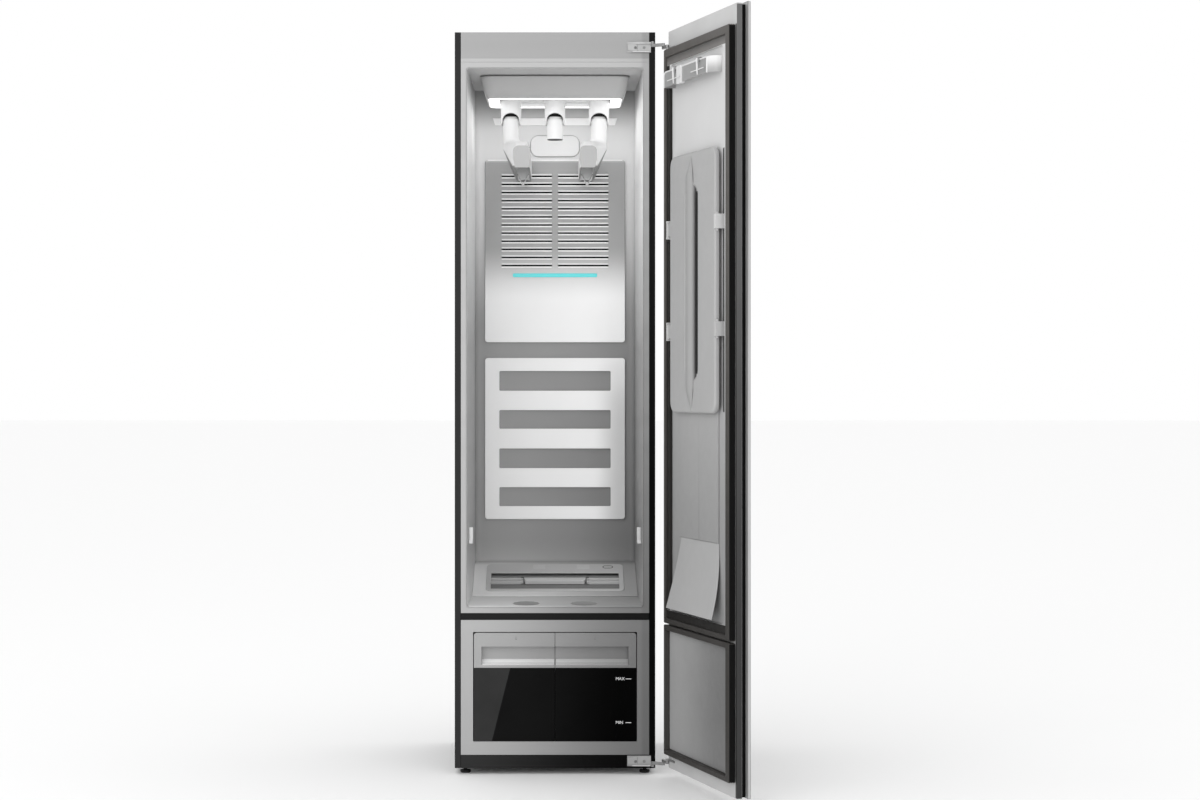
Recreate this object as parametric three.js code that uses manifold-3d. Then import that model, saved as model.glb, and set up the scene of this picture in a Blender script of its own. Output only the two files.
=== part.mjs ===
// Clothes care steam cabinet: a tall built-in cabinet with a steam chamber, air hangers,
// water tanks behind a lower panel and a multi-link hinged door with a trouser press.
// Millimetres, +Z up. The door faces -Y. The model is shown with the door open.
import * as THREE from 'three';
import { mergeVertices } from 'three/addons/utils/BufferGeometryUtils.js';
import Module from 'manifold-3d';

const wasm = await Module();
wasm.setup();

// Overall sizes of the cabinet
const cabinetWidth = 500;
const cabinetHeight = 1850;
const cabinetDepth = 560;
const sideThickness = 15;
const topThickness = 14;
const backThickness = 8;
const gap = 0.3;
const overrun = 2;
const sideCornerRadius = 1.5;

// Heights of the front, from the floor up
const footHeight = 15.4;
const plinthHeight = 33.2;
const tankPanelHeight = 336.4;
const dividerHeight = 17;
const lowerRailHeight = 15;
const headerHeight = 90;
const bezelWidth = 15.5;
const frameDepth = 12;
const frameBevel = 2.5;
const openingRadius = 7;
const headerGroove = 1;
const headerGrooveHeight = 75;

// Steam chamber. Its inner heights and depths are drawn for the drawn chamber and follow the real one.
const rearDuctDepth = 72;
const drawnChamberDepth = 488;
const drawnChamberHeight = 1341.8;

// Heights over the opening's sill, in the drawn chamber
const drawnInletLow = 868;
const drawnInletHigh = 1132;
const drawnRearStripLow = 1251;
const drawnUpperPanelLow = 668;
const drawnUpperPanelHeight = 490;
const drawnSlotTop = 1114;
const drawnSlotPitch = 21.8;
const drawnLightBarLow = 843;
const drawnLowerPanelLow = 193;
const drawnLowerPanelHeight = 433;
const drawnDuctCoverLow = 1167.5;
const drawnSupportHigh = 212;
const drawnPressLow = 487;
const drawnPressHigh = 1108;
const drawnScoopLength = 456;
const drawnBoardLow = 185;
const drawnFlapLow = 9;
const drawnWindowLows = [538, 436, 330, 228];
const drawnWindowHeights = [53, 50, 53, 51];
const drawnClipLows = [667, 916];

// Depths behind the casing's front edge, in the drawn chamber
const drawnDishSetback = 92;
const drawnHeadFrontTop = 140;
const drawnHeadFrontBottom = 170;
const drawnHeadBack = 388;
const drawnCollarDepth = 278;
const drawnArmFront = 60;
const drawnArmBack = 476;
const drawnSupportSetback = 120;
const drawnConsoleFront = 290;
const drawnCoverSetback = 24;
const drawnCoverLength = 161;

// Walls, floor and rear strip of the chamber
const chamberDraft = 4.5;
const chamberCornerRadius = 16;
const linerWall = 4.5;
const linerFloor = 8;
const floorStep = 1.2;
const dishWidth = 70;
const dishLength = 126;
const dishDepth = 3;
const dishSpacing = 146;
const inletWidth = 292;
const rearStripHeight = 20;
const rearStripWidth = 336;
const rearStripDepth = 3;

// Panels on the chamber's back wall
const backPanelWidth = 376;
const backPanelThickness = 10;
const backPanelRadius = 8;
const backPanelBevel = 1;
const slotRows = 12;
const slotHeight = 5;
const slotBevel = 3.5;
const slotLength = 136;
const slotSpacing = 151.5;
const lightBarWidth = 226;
const lightBarHeight = 10;
const lightBarProud = 1.2;
const lightBarSeat = 4;
const windowWidth = 299;
const windowRadius = 3;
const ductCoverWidth = 130;
const ductCoverHeight = 55.9;
const ductCoverRadius = 20;
const ductCoverBevel = 1.2;
const ductCoverThickness = 5;

// Air head under the ceiling, its light ring, and the three nozzle collars
const headTopWidth = 382;
const headBottomWidth = 348;
const headHeight = 55;
const headTopRadius = 30;
const headBottomRadius = 22;
const headRecessRadius = 8;
const ringInset = 3;
const ringWidth = 28;
const ringDepth = 6;
const ringProud = 1.5;
const headRecessDepth = 10;
const collarClearance = 1.9;
const collarRadius = 26.5;
const collarWall = 2.2;
const collarLength = 58;
const collarBoreDepth = 24;
const collarArchWidth = 44;
const collarArchHeight = 26;
const flareRadius = 28;
const flareLip = 1;
const collarSegments = 22;
const flareHeight = 4;

// Air hangers and the centre nozzle
const neckRadius = 21.2;
const neckBore = 16.5;
const neckInsert = 30;
const neckSegments = 20;
const sealRadius = 23.6;
const sealHeight = 7;
const sealDrop = 26;
const sealLip = 1;
const neckLength = 56;
const armInset = 31;
const armWidth = 46;
const armHeight = 63.5;
const armTopRadius = 19;
const armBottomWidth = 35;
const armDrop = 20;
const armEndDrop = 12;
const armWall = 3;
const armCapLength = 22;
const armFlare = 29;
const creaseEndShare = 0.9;
const creaseNeckShare = 0.2;
const armEndShare = 0.93;
const armEndTaperShare = 0.12;
const armStations = [0, 0.035, 0.14, 0.28, 0.5, 0.72, 0.86, 0.965, 1];
const elbowHeight = 34;
const elbowBendShare = 0.35;
const elbowSideGap = 1;
const hookDrop = 13.5;
const hookWire = 1.6;
const hookSpread = 20;
const hookBridge = 6;
const plugLength = 72;
const plugTipRadius = 19.5;
const plugWall = 2.5;

// Shelf supports on the side walls
const supportThickness = 9;
const supportLength = 34;
const supportHeight = 40;
const supportArm = 22;

// Filter console at the back of the chamber's floor, and its cover
const consoleRise = 80;
const consoleLip = 2.5;
const consoleSkin = 4;
const consoleBackSkin = 6.4;
const coverWidth = 363;
const coverThickness = 3;
const coverRadius = 14;
const trayInset = 12;
const trayDepth = 20;
const trayWall = 2;
const grilleWidth = 338;
const grilleSlots = 6;
const grilleSlot = 9;
const grillePitch = 15.6;
const grilleLow = 30;
const grilleDepth = 12;
const pullWidth = 165;
const pullHeight = 26;
const pullProud = 4;
const pullAngleInset = 9;
const pullSetback = 46;

// Tank bay and water tanks
const tankWidth = 202;
const tankDepth = 206;
const tankLow = 33.5;
const tankHeadroom = 32.2;
const tankLidHeight = 87.4;
const tankCornerRadius = 8;
const tankWall = 2.5;
const tankGap = 0.8;
const tankProud = 1;
const bayClearance = 2;
const bayWall = 2;
const bayPanelThickness = 4;
const lidShelfHeight = 24;
const lidFrontDepth = 46;
const gripWidth = 183;
const gripHeight = 46;
const gripLow = 7;
const gripDepth = 24;
const gripSlope = 12;
const gripEdgeRadius = 5;

// Levelling feet
const footRadius = 13.5;
const footDiscHeight = 7;
const footChamfer = 1.5;
const footCrown = 1;
const footStemRadius = 5;
const footStemLength = 34;
const footInset = 26;
const footFrontSetback = 34;
const footBackSetback = 40;
const footBossRadius = 10;
const footBossHeight = 14;
const footBoreGap = 0.4;

// Base tray, plinth, and the machine space over them
const trayFloor = 3;
const baseRim = 18;
const baseSetback = 22;
const ventRows = 9;
const ventPitch = 22;
const ventHeight = 7;
const ventLength = 150;
const ventSpacing = 190;
const ventLow = 80;
const compressorRadius = 62;
const compressorHeight = 178;
const compressorX = -128;
const compressorSetback = 164;
const compressorFootRadius = 76;
const compressorFootHeight = 10;
const domeLowShare = 0.75;
const domeHighShare = 0.92;
const domeWidthShare = 0.86;
const domeTopShare = 0.5;
const boilerRadius = 58;
const boilerHeight = 206;
const boilerX = 118;
const boilerSetback = 168;
const boilerFlangeRadius = 68;
const boilerFlangeHeight = 8;
const boilerPipeRadius = 9;
const boilerPipeHeight = 34;

// Blower and heat exchanger in the duct behind the chamber
const blowerZ = 1400;
const blowerRadius = 104;
const blowerGrowth = 22;
const blowerDepth = 50;
const blowerWall = 2.5;
const blowerIntakeRadius = 66;
const blowerShaftRadius = 5;
const blowerMotorRadius = 26;
const blowerMotorDepth = 9;
const blowerOutletWidth = 70;
const wheelRadius = 84;
const wheelBladeDepth = 32;
const wheelBladeCount = 14;
const wheelBladeLength = 20;
const wheelBladeThickness = 2;
const wheelDisc = 3;
const wheelHubRadius = 14;
const wheelHubShare = 0.6;
const exchangerWidth = 300;
const exchangerHeight = 240;
const exchangerDepth = 42;
const exchangerLow = 900;
const exchangerFins = 11;
const exchangerFin = 3;
const exchangerTube = 26;

// Door, measured in its closed place
const doorGap = 17;
const doorBodyThickness = 12;
const doorRecessThickness = 13;
const doorPanelThickness = 7;
const doorHalfWidth = 248.5;
const doorLow = 24;
const doorDrop = 5;
const doorPanelDrop = 1;
const doorRecessInset = 14;
const doorEdgeRadius = 2;
const gasketInset = 12;
const gasketLow = 60;
const gasketSplit = 380;
const gasketDrop = 53;
const gasketHingeFace = 10;
const gasketFreeFace = 24;
const gasketTopFace = 20;
const gasketBottomFace = 13;
const gasketBevel = 3;
const gasketGroove = 2.5;
const gasketGrooveWidth = 3;
const gasketSplitGap = 4;
const linerBorder = 10.5;
const linerPlate = 3.4;
const linerMargin = 20;
const linerRecessRadius = 26;
const insertThickness = 4;
const seatClearance = 0.5;

// Trouser press on the door
const pressHingeX = 190;
const pressFreeX = -160;
const pressThickness = 13;
const pressBevel = 3;
const pressRadius = 28;
const pressBack = 5;
const ridgeWidth = 15;
const ridgeHeight = 8;
const ridgeTip = 60;
const ridgeMargin = 8;
const ridgeShoulderShare = 0.7;
const ridgeTipWidthShare = 0.3;
const ridgeTipHeightShare = 0.1;
const scoopWidth = 58;
const scoopDepth = 5;
const scoopRadius = 14;
const knuckleRadius = 4;
const knuckleOffset = 7;
const knuckleWeb = 2.5;
const earThickness = 5;
const earReach = 4.6;
const clipHeight = 34;
const clipWidth = 14;
const clipProud = 4;
const clipGap = 0.6;
const boardFree = -137.5;
const boardHinge = 129.5;
const boardThickness = 4;
const boardGroove = 1.2;
const flapBottomHinge = 178;
const flapBottomFree = -152;
const flapReach = 24;
const flapThickness = 2.2;
const flapSteps = 7;

// Trouser hanger at the top of the door
const bracketDrop = 115;
const bracketHeight = 38;
const bracketHingeX = 188;
const bracketFreeX = -132;
const bracketReach = 24;
const bracketThickness = 4;
const bracketBlockWidth = 32;
const bracketBlockProud = 3;
const bracketCornerShare = 0.7;
const clipCarrierWidth = 16;
const clipCarrierWall = 2;
const clipBladeHeight = 40;
const clipBladeThickness = 2.4;
const clipBladeReach = 7;
const clipBarLength = 46;
const clipBarThickness = 2.4;
const clipHingeX = 98;
const clipFreeX = -78;

// Multi-link hinge at the top and bottom of the door's right side
const hingeTopDrop = 38;
const hingeBottomZ = 33.8;
const hingePlateHalf = 13;
const hingePlateLow = 180;
const hingePlateThickness = 3;
const hingePivotX = 243;
const hingePivotOut = 8;
const hingeEarLow = 8;
const hingeEarRadius = 4;
const linkLength = 30;
const linkHalfWidth = 4;
const linkLow = 0.2;
const linkHigh = 7.6;
const linkRivetRadius = 2.2;
const doorPivotX = 243;
const doorPivotOut = 12;
const doorEarReach = 30;
const doorEarPlate = 1.8;
const poleX = 275.2;
const poleOut = 18.8;
const openDegrees = 105.8;
const innerLinkDegrees = 330.7;
const outerLinkDegrees = 105.8;

// Values worked out from the sizes
const halfWidth = cabinetWidth / 2;
const innerHalf = halfWidth - sideThickness - gap;
const openingHalf = halfWidth - sideThickness - bezelWidth;
const panelLow = footHeight + plinthHeight;
const dividerLow = panelLow + tankPanelHeight;
const bezelLow = dividerLow + dividerHeight;
const openingLow = bezelLow + lowerRailHeight;
const openingHigh = cabinetHeight - headerHeight;
const linerFront = frameDepth + gap;
const chamberDepth = cabinetDepth - rearDuctDepth;
const linerBack = chamberDepth + linerWall;
const collarSpacing = headBottomWidth / 2 - ringInset - ringWidth - collarRadius - collarClearance;
const chamberFloor = openingLow + floorStep;
const riseShare = (openingHigh - chamberFloor) / drawnChamberHeight;
const depthShare = chamberDepth / drawnChamberDepth;
const inletLow = drawnInletLow * riseShare;
const inletHigh = drawnInletHigh * riseShare;
const rearStripLow = drawnRearStripLow * riseShare;
const upperPanelLow = drawnUpperPanelLow * riseShare;
const upperPanelHeight = drawnUpperPanelHeight * riseShare;
const slotTop = drawnSlotTop * riseShare;
const slotPitch = drawnSlotPitch * riseShare;
const lightBarLow = drawnLightBarLow * riseShare;
const lowerPanelLow = drawnLowerPanelLow * riseShare;
const lowerPanelHeight = drawnLowerPanelHeight * riseShare;
const windowLows = drawnWindowLows.map((low) => low * riseShare);
const windowHeights = drawnWindowHeights.map((height) => height * riseShare);
const ductCoverLow = drawnDuctCoverLow * riseShare;
const supportHigh = drawnSupportHigh * riseShare;
const pressLow = openingLow + drawnPressLow * riseShare;
const pressHigh = openingLow + drawnPressHigh * riseShare;
const scoopLength = drawnScoopLength * riseShare;
const clipLows = drawnClipLows.map((low) => openingLow + low * riseShare);
const boardLow = openingLow + drawnBoardLow * riseShare;
const flapLow = openingLow + drawnFlapLow * riseShare;
const dishSetback = drawnDishSetback * depthShare;
const headFrontTop = drawnHeadFrontTop * depthShare;
const headFrontBottom = drawnHeadFrontBottom * depthShare;
const headBack = drawnHeadBack * depthShare;
const collarDepth = drawnCollarDepth * depthShare;
const armFront = drawnArmFront * depthShare;
const armBack = drawnArmBack * depthShare;
const supportSetback = drawnSupportSetback * depthShare;
const consoleFront = drawnConsoleFront * depthShare;
const coverSetback = drawnCoverSetback * depthShare;
const coverLength = drawnCoverLength * depthShare;
const compressorY = cabinetDepth - compressorSetback;
const boilerY = cabinetDepth - boilerSetback;
const backFace = cabinetDepth - backThickness;
const tankWindowHeight = tankPanelHeight - tankLow - tankHeadroom - gap - tankLidHeight;
const doorHigh = cabinetHeight - doorDrop;
const doorPanelHigh = cabinetHeight - doorPanelDrop;
const gasketHigh = cabinetHeight - gasketDrop;
const bracketHigh = cabinetHeight - bracketDrop;
const bracketLow = bracketHigh - bracketHeight;
const hingeTopZ = cabinetHeight - hingeTopDrop;
const centerX = 0;
const halfTurn = Math.PI;
const quarterTurn = Math.PI / 2;

// Colours of the pieces
const paint = (color, roughness, metalness) => new THREE.MeshStandardMaterial(
  { color, roughness, metalness });
const darkMetal = () => paint(0x2b2a2a, 0.45, 0.6);
const greySatin = () => paint(0xb4b5b8, 0.4, 0.3);
const chamberGrey = () => paint(0xbfc0c3, 0.5, 0);
const panelWhite = () => paint(0xebebec, 0.4, 0);
const hangerWhite = () => paint(0xf6f6f6, 0.35, 0);
const gasketBrown = () => paint(0x4c4743, 0.6, 0.1);
const blackGloss = () => paint(0x08090a, 0.08, 0);
const blackRubber = () => paint(0x161616, 0.8, 0);
const brightSteel = () => paint(0xb9babd, 0.3, 0.9);
const glowCyan = () => paint(0x4de6e6, 0.3, 0);
const glowWhite = () => paint(0xffffff, 0.3, 0);
const castGrey = () => paint(0x77797c, 0.5, 0.7);

// Solids: conversion between three.js geometry and closed manifolds
function toManifold(geometry) {
  const bare = geometry.clone();
  bare.deleteAttribute('normal');
  bare.deleteAttribute('uv');
  const merged = mergeVertices(bare);
  return new wasm.Manifold(new wasm.Mesh({
    numProp: 3,
    vertProperties: new Float32Array(merged.attributes.position.array),
    triVerts: new Uint32Array(merged.index.array),
  }));
}

function toGeometry(solid) {
  const mesh = solid.getMesh();
  const geometry = new THREE.BufferGeometry();
  geometry.setAttribute('position', new THREE.BufferAttribute(new Float32Array(mesh.vertProperties), 3));
  geometry.setIndex(new THREE.BufferAttribute(new Uint32Array(mesh.triVerts), 1));
  geometry.computeVertexNormals();
  return geometry;
}

const cut = (geometry, ...tools) => toGeometry(
  tools.reduce((solid, tool) => solid.subtract(toManifold(tool)), toManifold(geometry)));
const join = (geometry, ...others) => toGeometry(
  others.reduce((solid, other) => solid.add(toManifold(other)), toManifold(geometry)));
const common = (geometry, other) => toGeometry(toManifold(geometry).intersect(toManifold(other)));

// Outlines
function rectangle(left, right, low, high) {
  const shape = new THREE.Shape();
  shape.moveTo(left, low);
  shape.lineTo(right, low);
  shape.lineTo(right, high);
  shape.lineTo(left, high);
  shape.closePath();
  return shape;
}

function roundedRectangle(left, right, low, high, radius) {
  const shape = new THREE.Shape();
  shape.absarc(right - radius, low + radius, radius, -quarterTurn, 0, false);
  shape.absarc(right - radius, high - radius, radius, 0, quarterTurn, false);
  shape.absarc(left + radius, high - radius, radius, quarterTurn, halfTurn, false);
  shape.absarc(left + radius, low + radius, radius, halfTurn, halfTurn + quarterTurn, false);
  shape.closePath();
  return shape;
}

function polygon(points) {
  return new THREE.Shape(points.map(([x, y]) => new THREE.Vector2(x, y)));
}

function withHole(shape, hole) {
  shape.holes.push(hole);
  return shape;
}

// Prisms: a plan outline drawn upwards, a front outline drawn backwards, a side outline drawn to the right
function upward(shape, low, height, curveSegments = 4) {
  return new THREE.ExtrudeGeometry(shape, { depth: height, bevelEnabled: false, curveSegments })
    .translate(0, 0, low);
}

function backward(shape, front, depth, curveSegments = 4) {
  return new THREE.ExtrudeGeometry(shape, { depth, bevelEnabled: false, curveSegments })
    .rotateX(quarterTurn)
    .translate(0, front + depth, 0);
}

function backwardBevelled(shape, front, depth, bevel, curveSegments = 4) {
  const options = {
    depth: depth - 2 * bevel,
    bevelEnabled: true,
    bevelSize: bevel,
    bevelThickness: bevel,
    bevelOffset: -bevel,
    bevelSegments: 1,
    curveSegments,
  };
  return new THREE.ExtrudeGeometry(shape, options)
    .rotateX(quarterTurn)
    .translate(0, front + depth - bevel, 0);
}

function sideways(shape, left, width, curveSegments = 4) {
  const basis = new THREE.Matrix4().makeBasis(
    new THREE.Vector3(0, 1, 0), new THREE.Vector3(0, 0, 1), new THREE.Vector3(1, 0, 0));
  return new THREE.ExtrudeGeometry(shape, { depth: width, bevelEnabled: false, curveSegments })
    .applyMatrix4(basis)
    .translate(left, 0, 0);
}

// A block between two corners
function block(left, right, front, back, low, high) {
  return upward(rectangle(left, right, front, back), low, high - low);
}

// A revolved body about a vertical axis at x, y
function turned(profile, x, y, segments = 24) {
  const points = profile.map(([radius, height]) => new THREE.Vector2(radius, height));
  return new THREE.LatheGeometry(points, segments).rotateX(quarterTurn).translate(x, y, 0);
}

function rod(x, y, radius, low, high, segments = 20) {
  return turned([[0, low], [radius, low], [radius, high], [0, high]], x, y, segments);
}

// A skin through rings of equal counts, closed by flat ends
function loft(rings) {
  const count = rings[0].length;
  const positions = rings.flat().flatMap((point) => [point.x, point.y, point.z]);
  const faces = [];
  for (let ring = 0; ring + 1 < rings.length; ring += 1) {
    for (let i = 0; i < count; i += 1) {
      const a = ring * count + i;
      const b = ring * count + (i + 1) % count;
      faces.push(a, b, a + count, b, b + count, a + count);
    }
  }
  const last = (rings.length - 1) * count;
  for (let i = 1; i + 1 < count; i += 1) {
    faces.push(0, i + 1, i);
    faces.push(last, last + i, last + i + 1);
  }
  const geometry = new THREE.BufferGeometry();
  geometry.setAttribute('position', new THREE.Float32BufferAttribute(positions, 3));
  geometry.setIndex(faces);
  return outward(geometry);
}

// Turns the faces of a closed skin outwards where its rings run the other way
function outward(geometry) {
  const index = geometry.index.array;
  const position = geometry.attributes.position;
  const a = new THREE.Vector3();
  const b = new THREE.Vector3();
  const c = new THREE.Vector3();
  let volume = 0;
  for (let i = 0; i < index.length; i += 3) {
    a.fromBufferAttribute(position, index[i]);
    b.fromBufferAttribute(position, index[i + 1]);
    c.fromBufferAttribute(position, index[i + 2]);
    volume += a.dot(b.cross(c));
  }
  if (volume < 0) {
    for (let i = 0; i < index.length; i += 3) {
      [index[i + 1], index[i + 2]] = [index[i + 2], index[i + 1]];
    }
  }
  return geometry;
}

// Points of an outline in a level plane at height z
function levelRing(shape, z, divisions = 4) {
  return shape.extractPoints(divisions).shape.slice(0, -1)
    .map((point) => new THREE.Vector3(point.x, point.y, z));
}

// The finished object and its pieces
const model = new THREE.Group();
const cabinetGroup = new THREE.Group();
const doorSwing = new THREE.Group();
const doorGroup = new THREE.Group();
model.add(cabinetGroup, doorSwing);
doorSwing.position.set(poleX, -poleOut, 0);
doorSwing.rotation.z = THREE.MathUtils.degToRad(openDegrees);
doorSwing.add(doorGroup);
doorGroup.position.set(-poleX, poleOut, 0);

function place(name, geometry, material, parent = cabinetGroup) {
  const mesh = new THREE.Mesh(geometry, material);
  mesh.name = name;
  parent.add(mesh);
  return mesh;
}

// Outer casing
function buildCasing() {
  const sideBack = backFace - gap;
  const sideShape = roundedRectangle(-halfWidth, -halfWidth + sideThickness, 0, sideBack, sideCornerRadius);
  const leftSide = upward(sideShape, footHeight, cabinetHeight - footHeight, 2);
  place('side_panel_left', leftSide, darkMetal());
  const rightSide = leftSide.clone().translate(cabinetWidth - sideThickness, 0, 0);
  place('side_panel_right', rightSide, darkMetal());

  const topLow = cabinetHeight - topThickness;
  const top = block(-innerHalf, innerHalf, linerFront, backFace - gap, topLow, cabinetHeight);
  place('top_panel', top, darkMetal());

  const back = backward(rectangle(-halfWidth, halfWidth, footHeight, cabinetHeight), backFace, backThickness);
  const vents = [];
  for (let row = 0; row < ventRows; row += 1) {
    const low = ventLow + row * ventPitch;
    for (const side of [-1, 1]) {
      const middle = side * ventSpacing / 2;
      const outline = rectangle(middle - ventLength / 2, middle + ventLength / 2, low, low + ventHeight);
      vents.push(backward(outline, backFace - overrun, backThickness + 2 * overrun));
    }
  }
  place('back_panel', cut(back, ...vents), darkMetal());

  const plinth = block(-innerHalf, innerHalf, 0, baseSetback - gap, footHeight, panelLow - gap);
  place('plinth', plinth, darkMetal());
}

// Base tray with a boss for each foot's stem
const footPlaces = [
  ['foot_front_left', -halfWidth + footInset, footFrontSetback],
  ['foot_front_right', halfWidth - footInset, footFrontSetback],
  ['foot_rear_left', -halfWidth + footInset, cabinetDepth - footBackSetback],
  ['foot_rear_right', halfWidth - footInset, cabinetDepth - footBackSetback],
];

function buildBase() {
  const rimHigh = footHeight + baseRim;
  const outer = block(-innerHalf, innerHalf, baseSetback, backFace - gap, footHeight, rimHigh);
  const hollow = block(-innerHalf + trayFloor, innerHalf - trayFloor, baseSetback + trayFloor,
    backFace - gap - trayFloor, footHeight + trayFloor, rimHigh + overrun);
  let tray = cut(outer, hollow);
  for (const [, x, y] of footPlaces) {
    tray = join(tray, rod(x, y, footBossRadius, footHeight, footHeight + trayFloor + footBossHeight));
    tray = cut(tray, rod(x, y, footStemRadius + footBoreGap, footHeight - overrun, cabinetHeight / 2, 16));
  }
  place('base_tray', tray, castGrey());

  for (const [name, x, y] of footPlaces) {
    const foot = turned([
      [0, 0],
      [footRadius - footChamfer, 0],
      [footRadius, footChamfer],
      [footRadius, footDiscHeight - footCrown],
      [footRadius - footCrown, footDiscHeight],
      [footStemRadius, footDiscHeight],
      [footStemRadius, footDiscHeight + footStemLength],
      [0, footDiscHeight + footStemLength],
    ], x, y, 14);
    place(name, foot, blackRubber());
  }
}

// Light-grey front frame around the chamber's opening, with a fine groove across its header
function buildFrontFrame() {
  const opening = roundedRectangle(-openingHalf, openingHalf, openingLow, openingHigh, openingRadius);
  const outline = withHole(rectangle(-innerHalf, innerHalf, bezelLow, cabinetHeight), opening);
  const frame = backward(outline, 0, frameDepth);
  const entry = roundedRectangle(-openingHalf, openingHalf, openingLow, openingHigh, openingRadius);
  const bevel = backwardBevelled(entry, -frameBevel, 2 * frameBevel, frameBevel / 2);
  const widened = bevel.clone().translate(0, 0, -(openingLow + openingHigh) / 2);
  widened.scale(1 + frameBevel / openingHalf, 1, 1 + 2 * frameBevel / (openingHigh - openingLow));
  widened.translate(0, 0, (openingLow + openingHigh) / 2);
  const grooveLow = cabinetHeight - headerGrooveHeight;
  const groove = block(-halfWidth, halfWidth, -overrun, headerGroove, grooveLow, grooveLow + headerGroove);
  place('front_frame', cut(frame, widened, groove), greySatin());

  const divider = block(-innerHalf, innerHalf, 0, frameDepth, dividerLow, bezelLow - gap);
  place('divider_bar', divider, blackGloss());
}

// Plan outline of the chamber, a little narrower at its back, or of what fits in it with a clearance
function chamberOutline(front, clearance = 0) {
  const frontHalf = openingHalf - clearance;
  const rearHalf = openingHalf - chamberDraft - clearance;
  const back = chamberDepth - clearance;
  const shape = new THREE.Shape();
  shape.moveTo(-frontHalf, front);
  shape.lineTo(frontHalf, front);
  shape.lineTo(rearHalf, back - chamberCornerRadius);
  shape.quadraticCurveTo(rearHalf, back, rearHalf - chamberCornerRadius, back);
  shape.lineTo(-rearHalf + chamberCornerRadius, back);
  shape.quadraticCurveTo(-rearHalf, back, -rearHalf, back - chamberCornerRadius);
  shape.closePath();
  return shape;
}

// The chamber's liner: side walls with draft, ceiling, back wall and floor
function buildLiner() {
  const outerHalf = openingHalf + linerWall;
  const linerLow = chamberFloor - linerFloor;
  const linerHigh = openingHigh + linerFloor;
  const tub = block(-outerHalf, outerHalf, linerFront, linerBack, linerLow, linerHigh);
  const cavity = upward(chamberOutline(linerFront - overrun), chamberFloor, openingHigh - chamberFloor, 3);
  const wallFront = chamberDepth - chamberCornerRadius;
  const inlet = block(-inletWidth / 2, inletWidth / 2, wallFront, linerBack + overrun,
    openingLow + inletLow, openingLow + inletHigh);
  const returnFront = consoleFront + coverSetback;
  const ductHalf = coverWidth / 2 - trayInset + trayWall;
  const floorDuct = block(-ductHalf, ductHalf, returnFront, wallFront, linerLow - overrun,
    chamberFloor + overrun);
  const dishes = [-1, 1].map((side) => new THREE.SphereGeometry(1, 16, 6)
    .scale(dishWidth / 2, dishLength / 2, dishDepth)
    .translate(side * dishSpacing / 2, dishSetback, chamberFloor));
  const stripLow = openingLow + rearStripLow;
  const stripHalf = rearStripWidth / 2;
  const strip = backward(
    roundedRectangle(-stripHalf, stripHalf, stripLow, stripLow + rearStripHeight, rearStripDepth),
    chamberDepth - rearStripDepth, rearStripDepth + gap);
  place('chamber_liner', join(cut(tub, cavity, inlet, floorDuct, ...dishes), strip), chamberGrey());
}

// Upper panel on the back wall, with two columns of bevelled air slots and a seat for the light bar
function buildUpperPanel() {
  const back = chamberDepth - gap;
  const front = back - backPanelThickness;
  const low = openingLow + upperPanelLow;
  const outline = roundedRectangle(-backPanelWidth / 2, backPanelWidth / 2, low, low + upperPanelHeight,
    backPanelRadius);
  const plate = backwardBevelled(outline, front, backPanelThickness, backPanelBevel);
  const tools = [];
  for (let row = 0; row < slotRows; row += 1) {
    const middle = openingLow + slotTop - row * slotPitch;
    for (const side of [-1, 1]) {
      const left = side * slotSpacing / 2 - slotLength / 2;
      const flank = [
        [front - overrun, middle - slotHeight / 2 - slotBevel - overrun],
        [front + slotBevel, middle - slotHeight / 2],
        [back + overrun, middle - slotHeight / 2],
        [back + overrun, middle + slotHeight / 2],
        [front + slotBevel, middle + slotHeight / 2],
        [front - overrun, middle + slotHeight / 2 + slotBevel + overrun],
      ];
      tools.push(sideways(polygon(flank), left, slotLength));
    }
  }
  const barLow = openingLow + lightBarLow;
  const barHalf = lightBarWidth / 2;
  const barSeat = block(-barHalf - gap, barHalf + gap, front - overrun, front + lightBarSeat,
    barLow - gap, barLow + lightBarHeight + gap);
  place('upper_back_panel', cut(plate, ...tools, barSeat), panelWhite());

  const bar = backward(
    roundedRectangle(-barHalf, barHalf, barLow, barLow + lightBarHeight, lightBarHeight / 3),
    front - lightBarProud, lightBarSeat + lightBarProud - gap);
  place('light_bar', bar, glowCyan());
}

// Lower panel on the back wall, with four open windows
function buildLowerPanel() {
  const front = chamberDepth - gap - backPanelThickness;
  const low = openingLow + lowerPanelLow;
  const outline = roundedRectangle(-backPanelWidth / 2, backPanelWidth / 2, low, low + lowerPanelHeight,
    backPanelRadius);
  const plate = backwardBevelled(outline, front, backPanelThickness, backPanelBevel);
  const windows = windowLows.map((windowLow, i) => backward(
    roundedRectangle(-windowWidth / 2, windowWidth / 2, openingLow + windowLow,
      openingLow + windowLow + windowHeights[i], windowRadius),
    front - overrun, backPanelThickness + 2 * overrun, 2));
  place('lower_back_panel', cut(plate, ...windows), panelWhite());

  const coverLow = openingLow + ductCoverLow;
  const cover = backwardBevelled(
    roundedRectangle(-ductCoverWidth / 2, ductCoverWidth / 2, coverLow, coverLow + ductCoverHeight,
      ductCoverRadius),
    chamberDepth - gap - ductCoverThickness, ductCoverThickness, ductCoverBevel, 6);
  place('duct_cover', cover, hangerWhite());
}

// Air head: a tapered box under the ceiling with a recess below and a glowing ring round its rim
const headLow = openingHigh - headHeight;

function headSection(widthHere, frontHere, radius, z) {
  return levelRing(roundedRectangle(-widthHere / 2, widthHere / 2, frontHere, headBack, radius), z);
}

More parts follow.
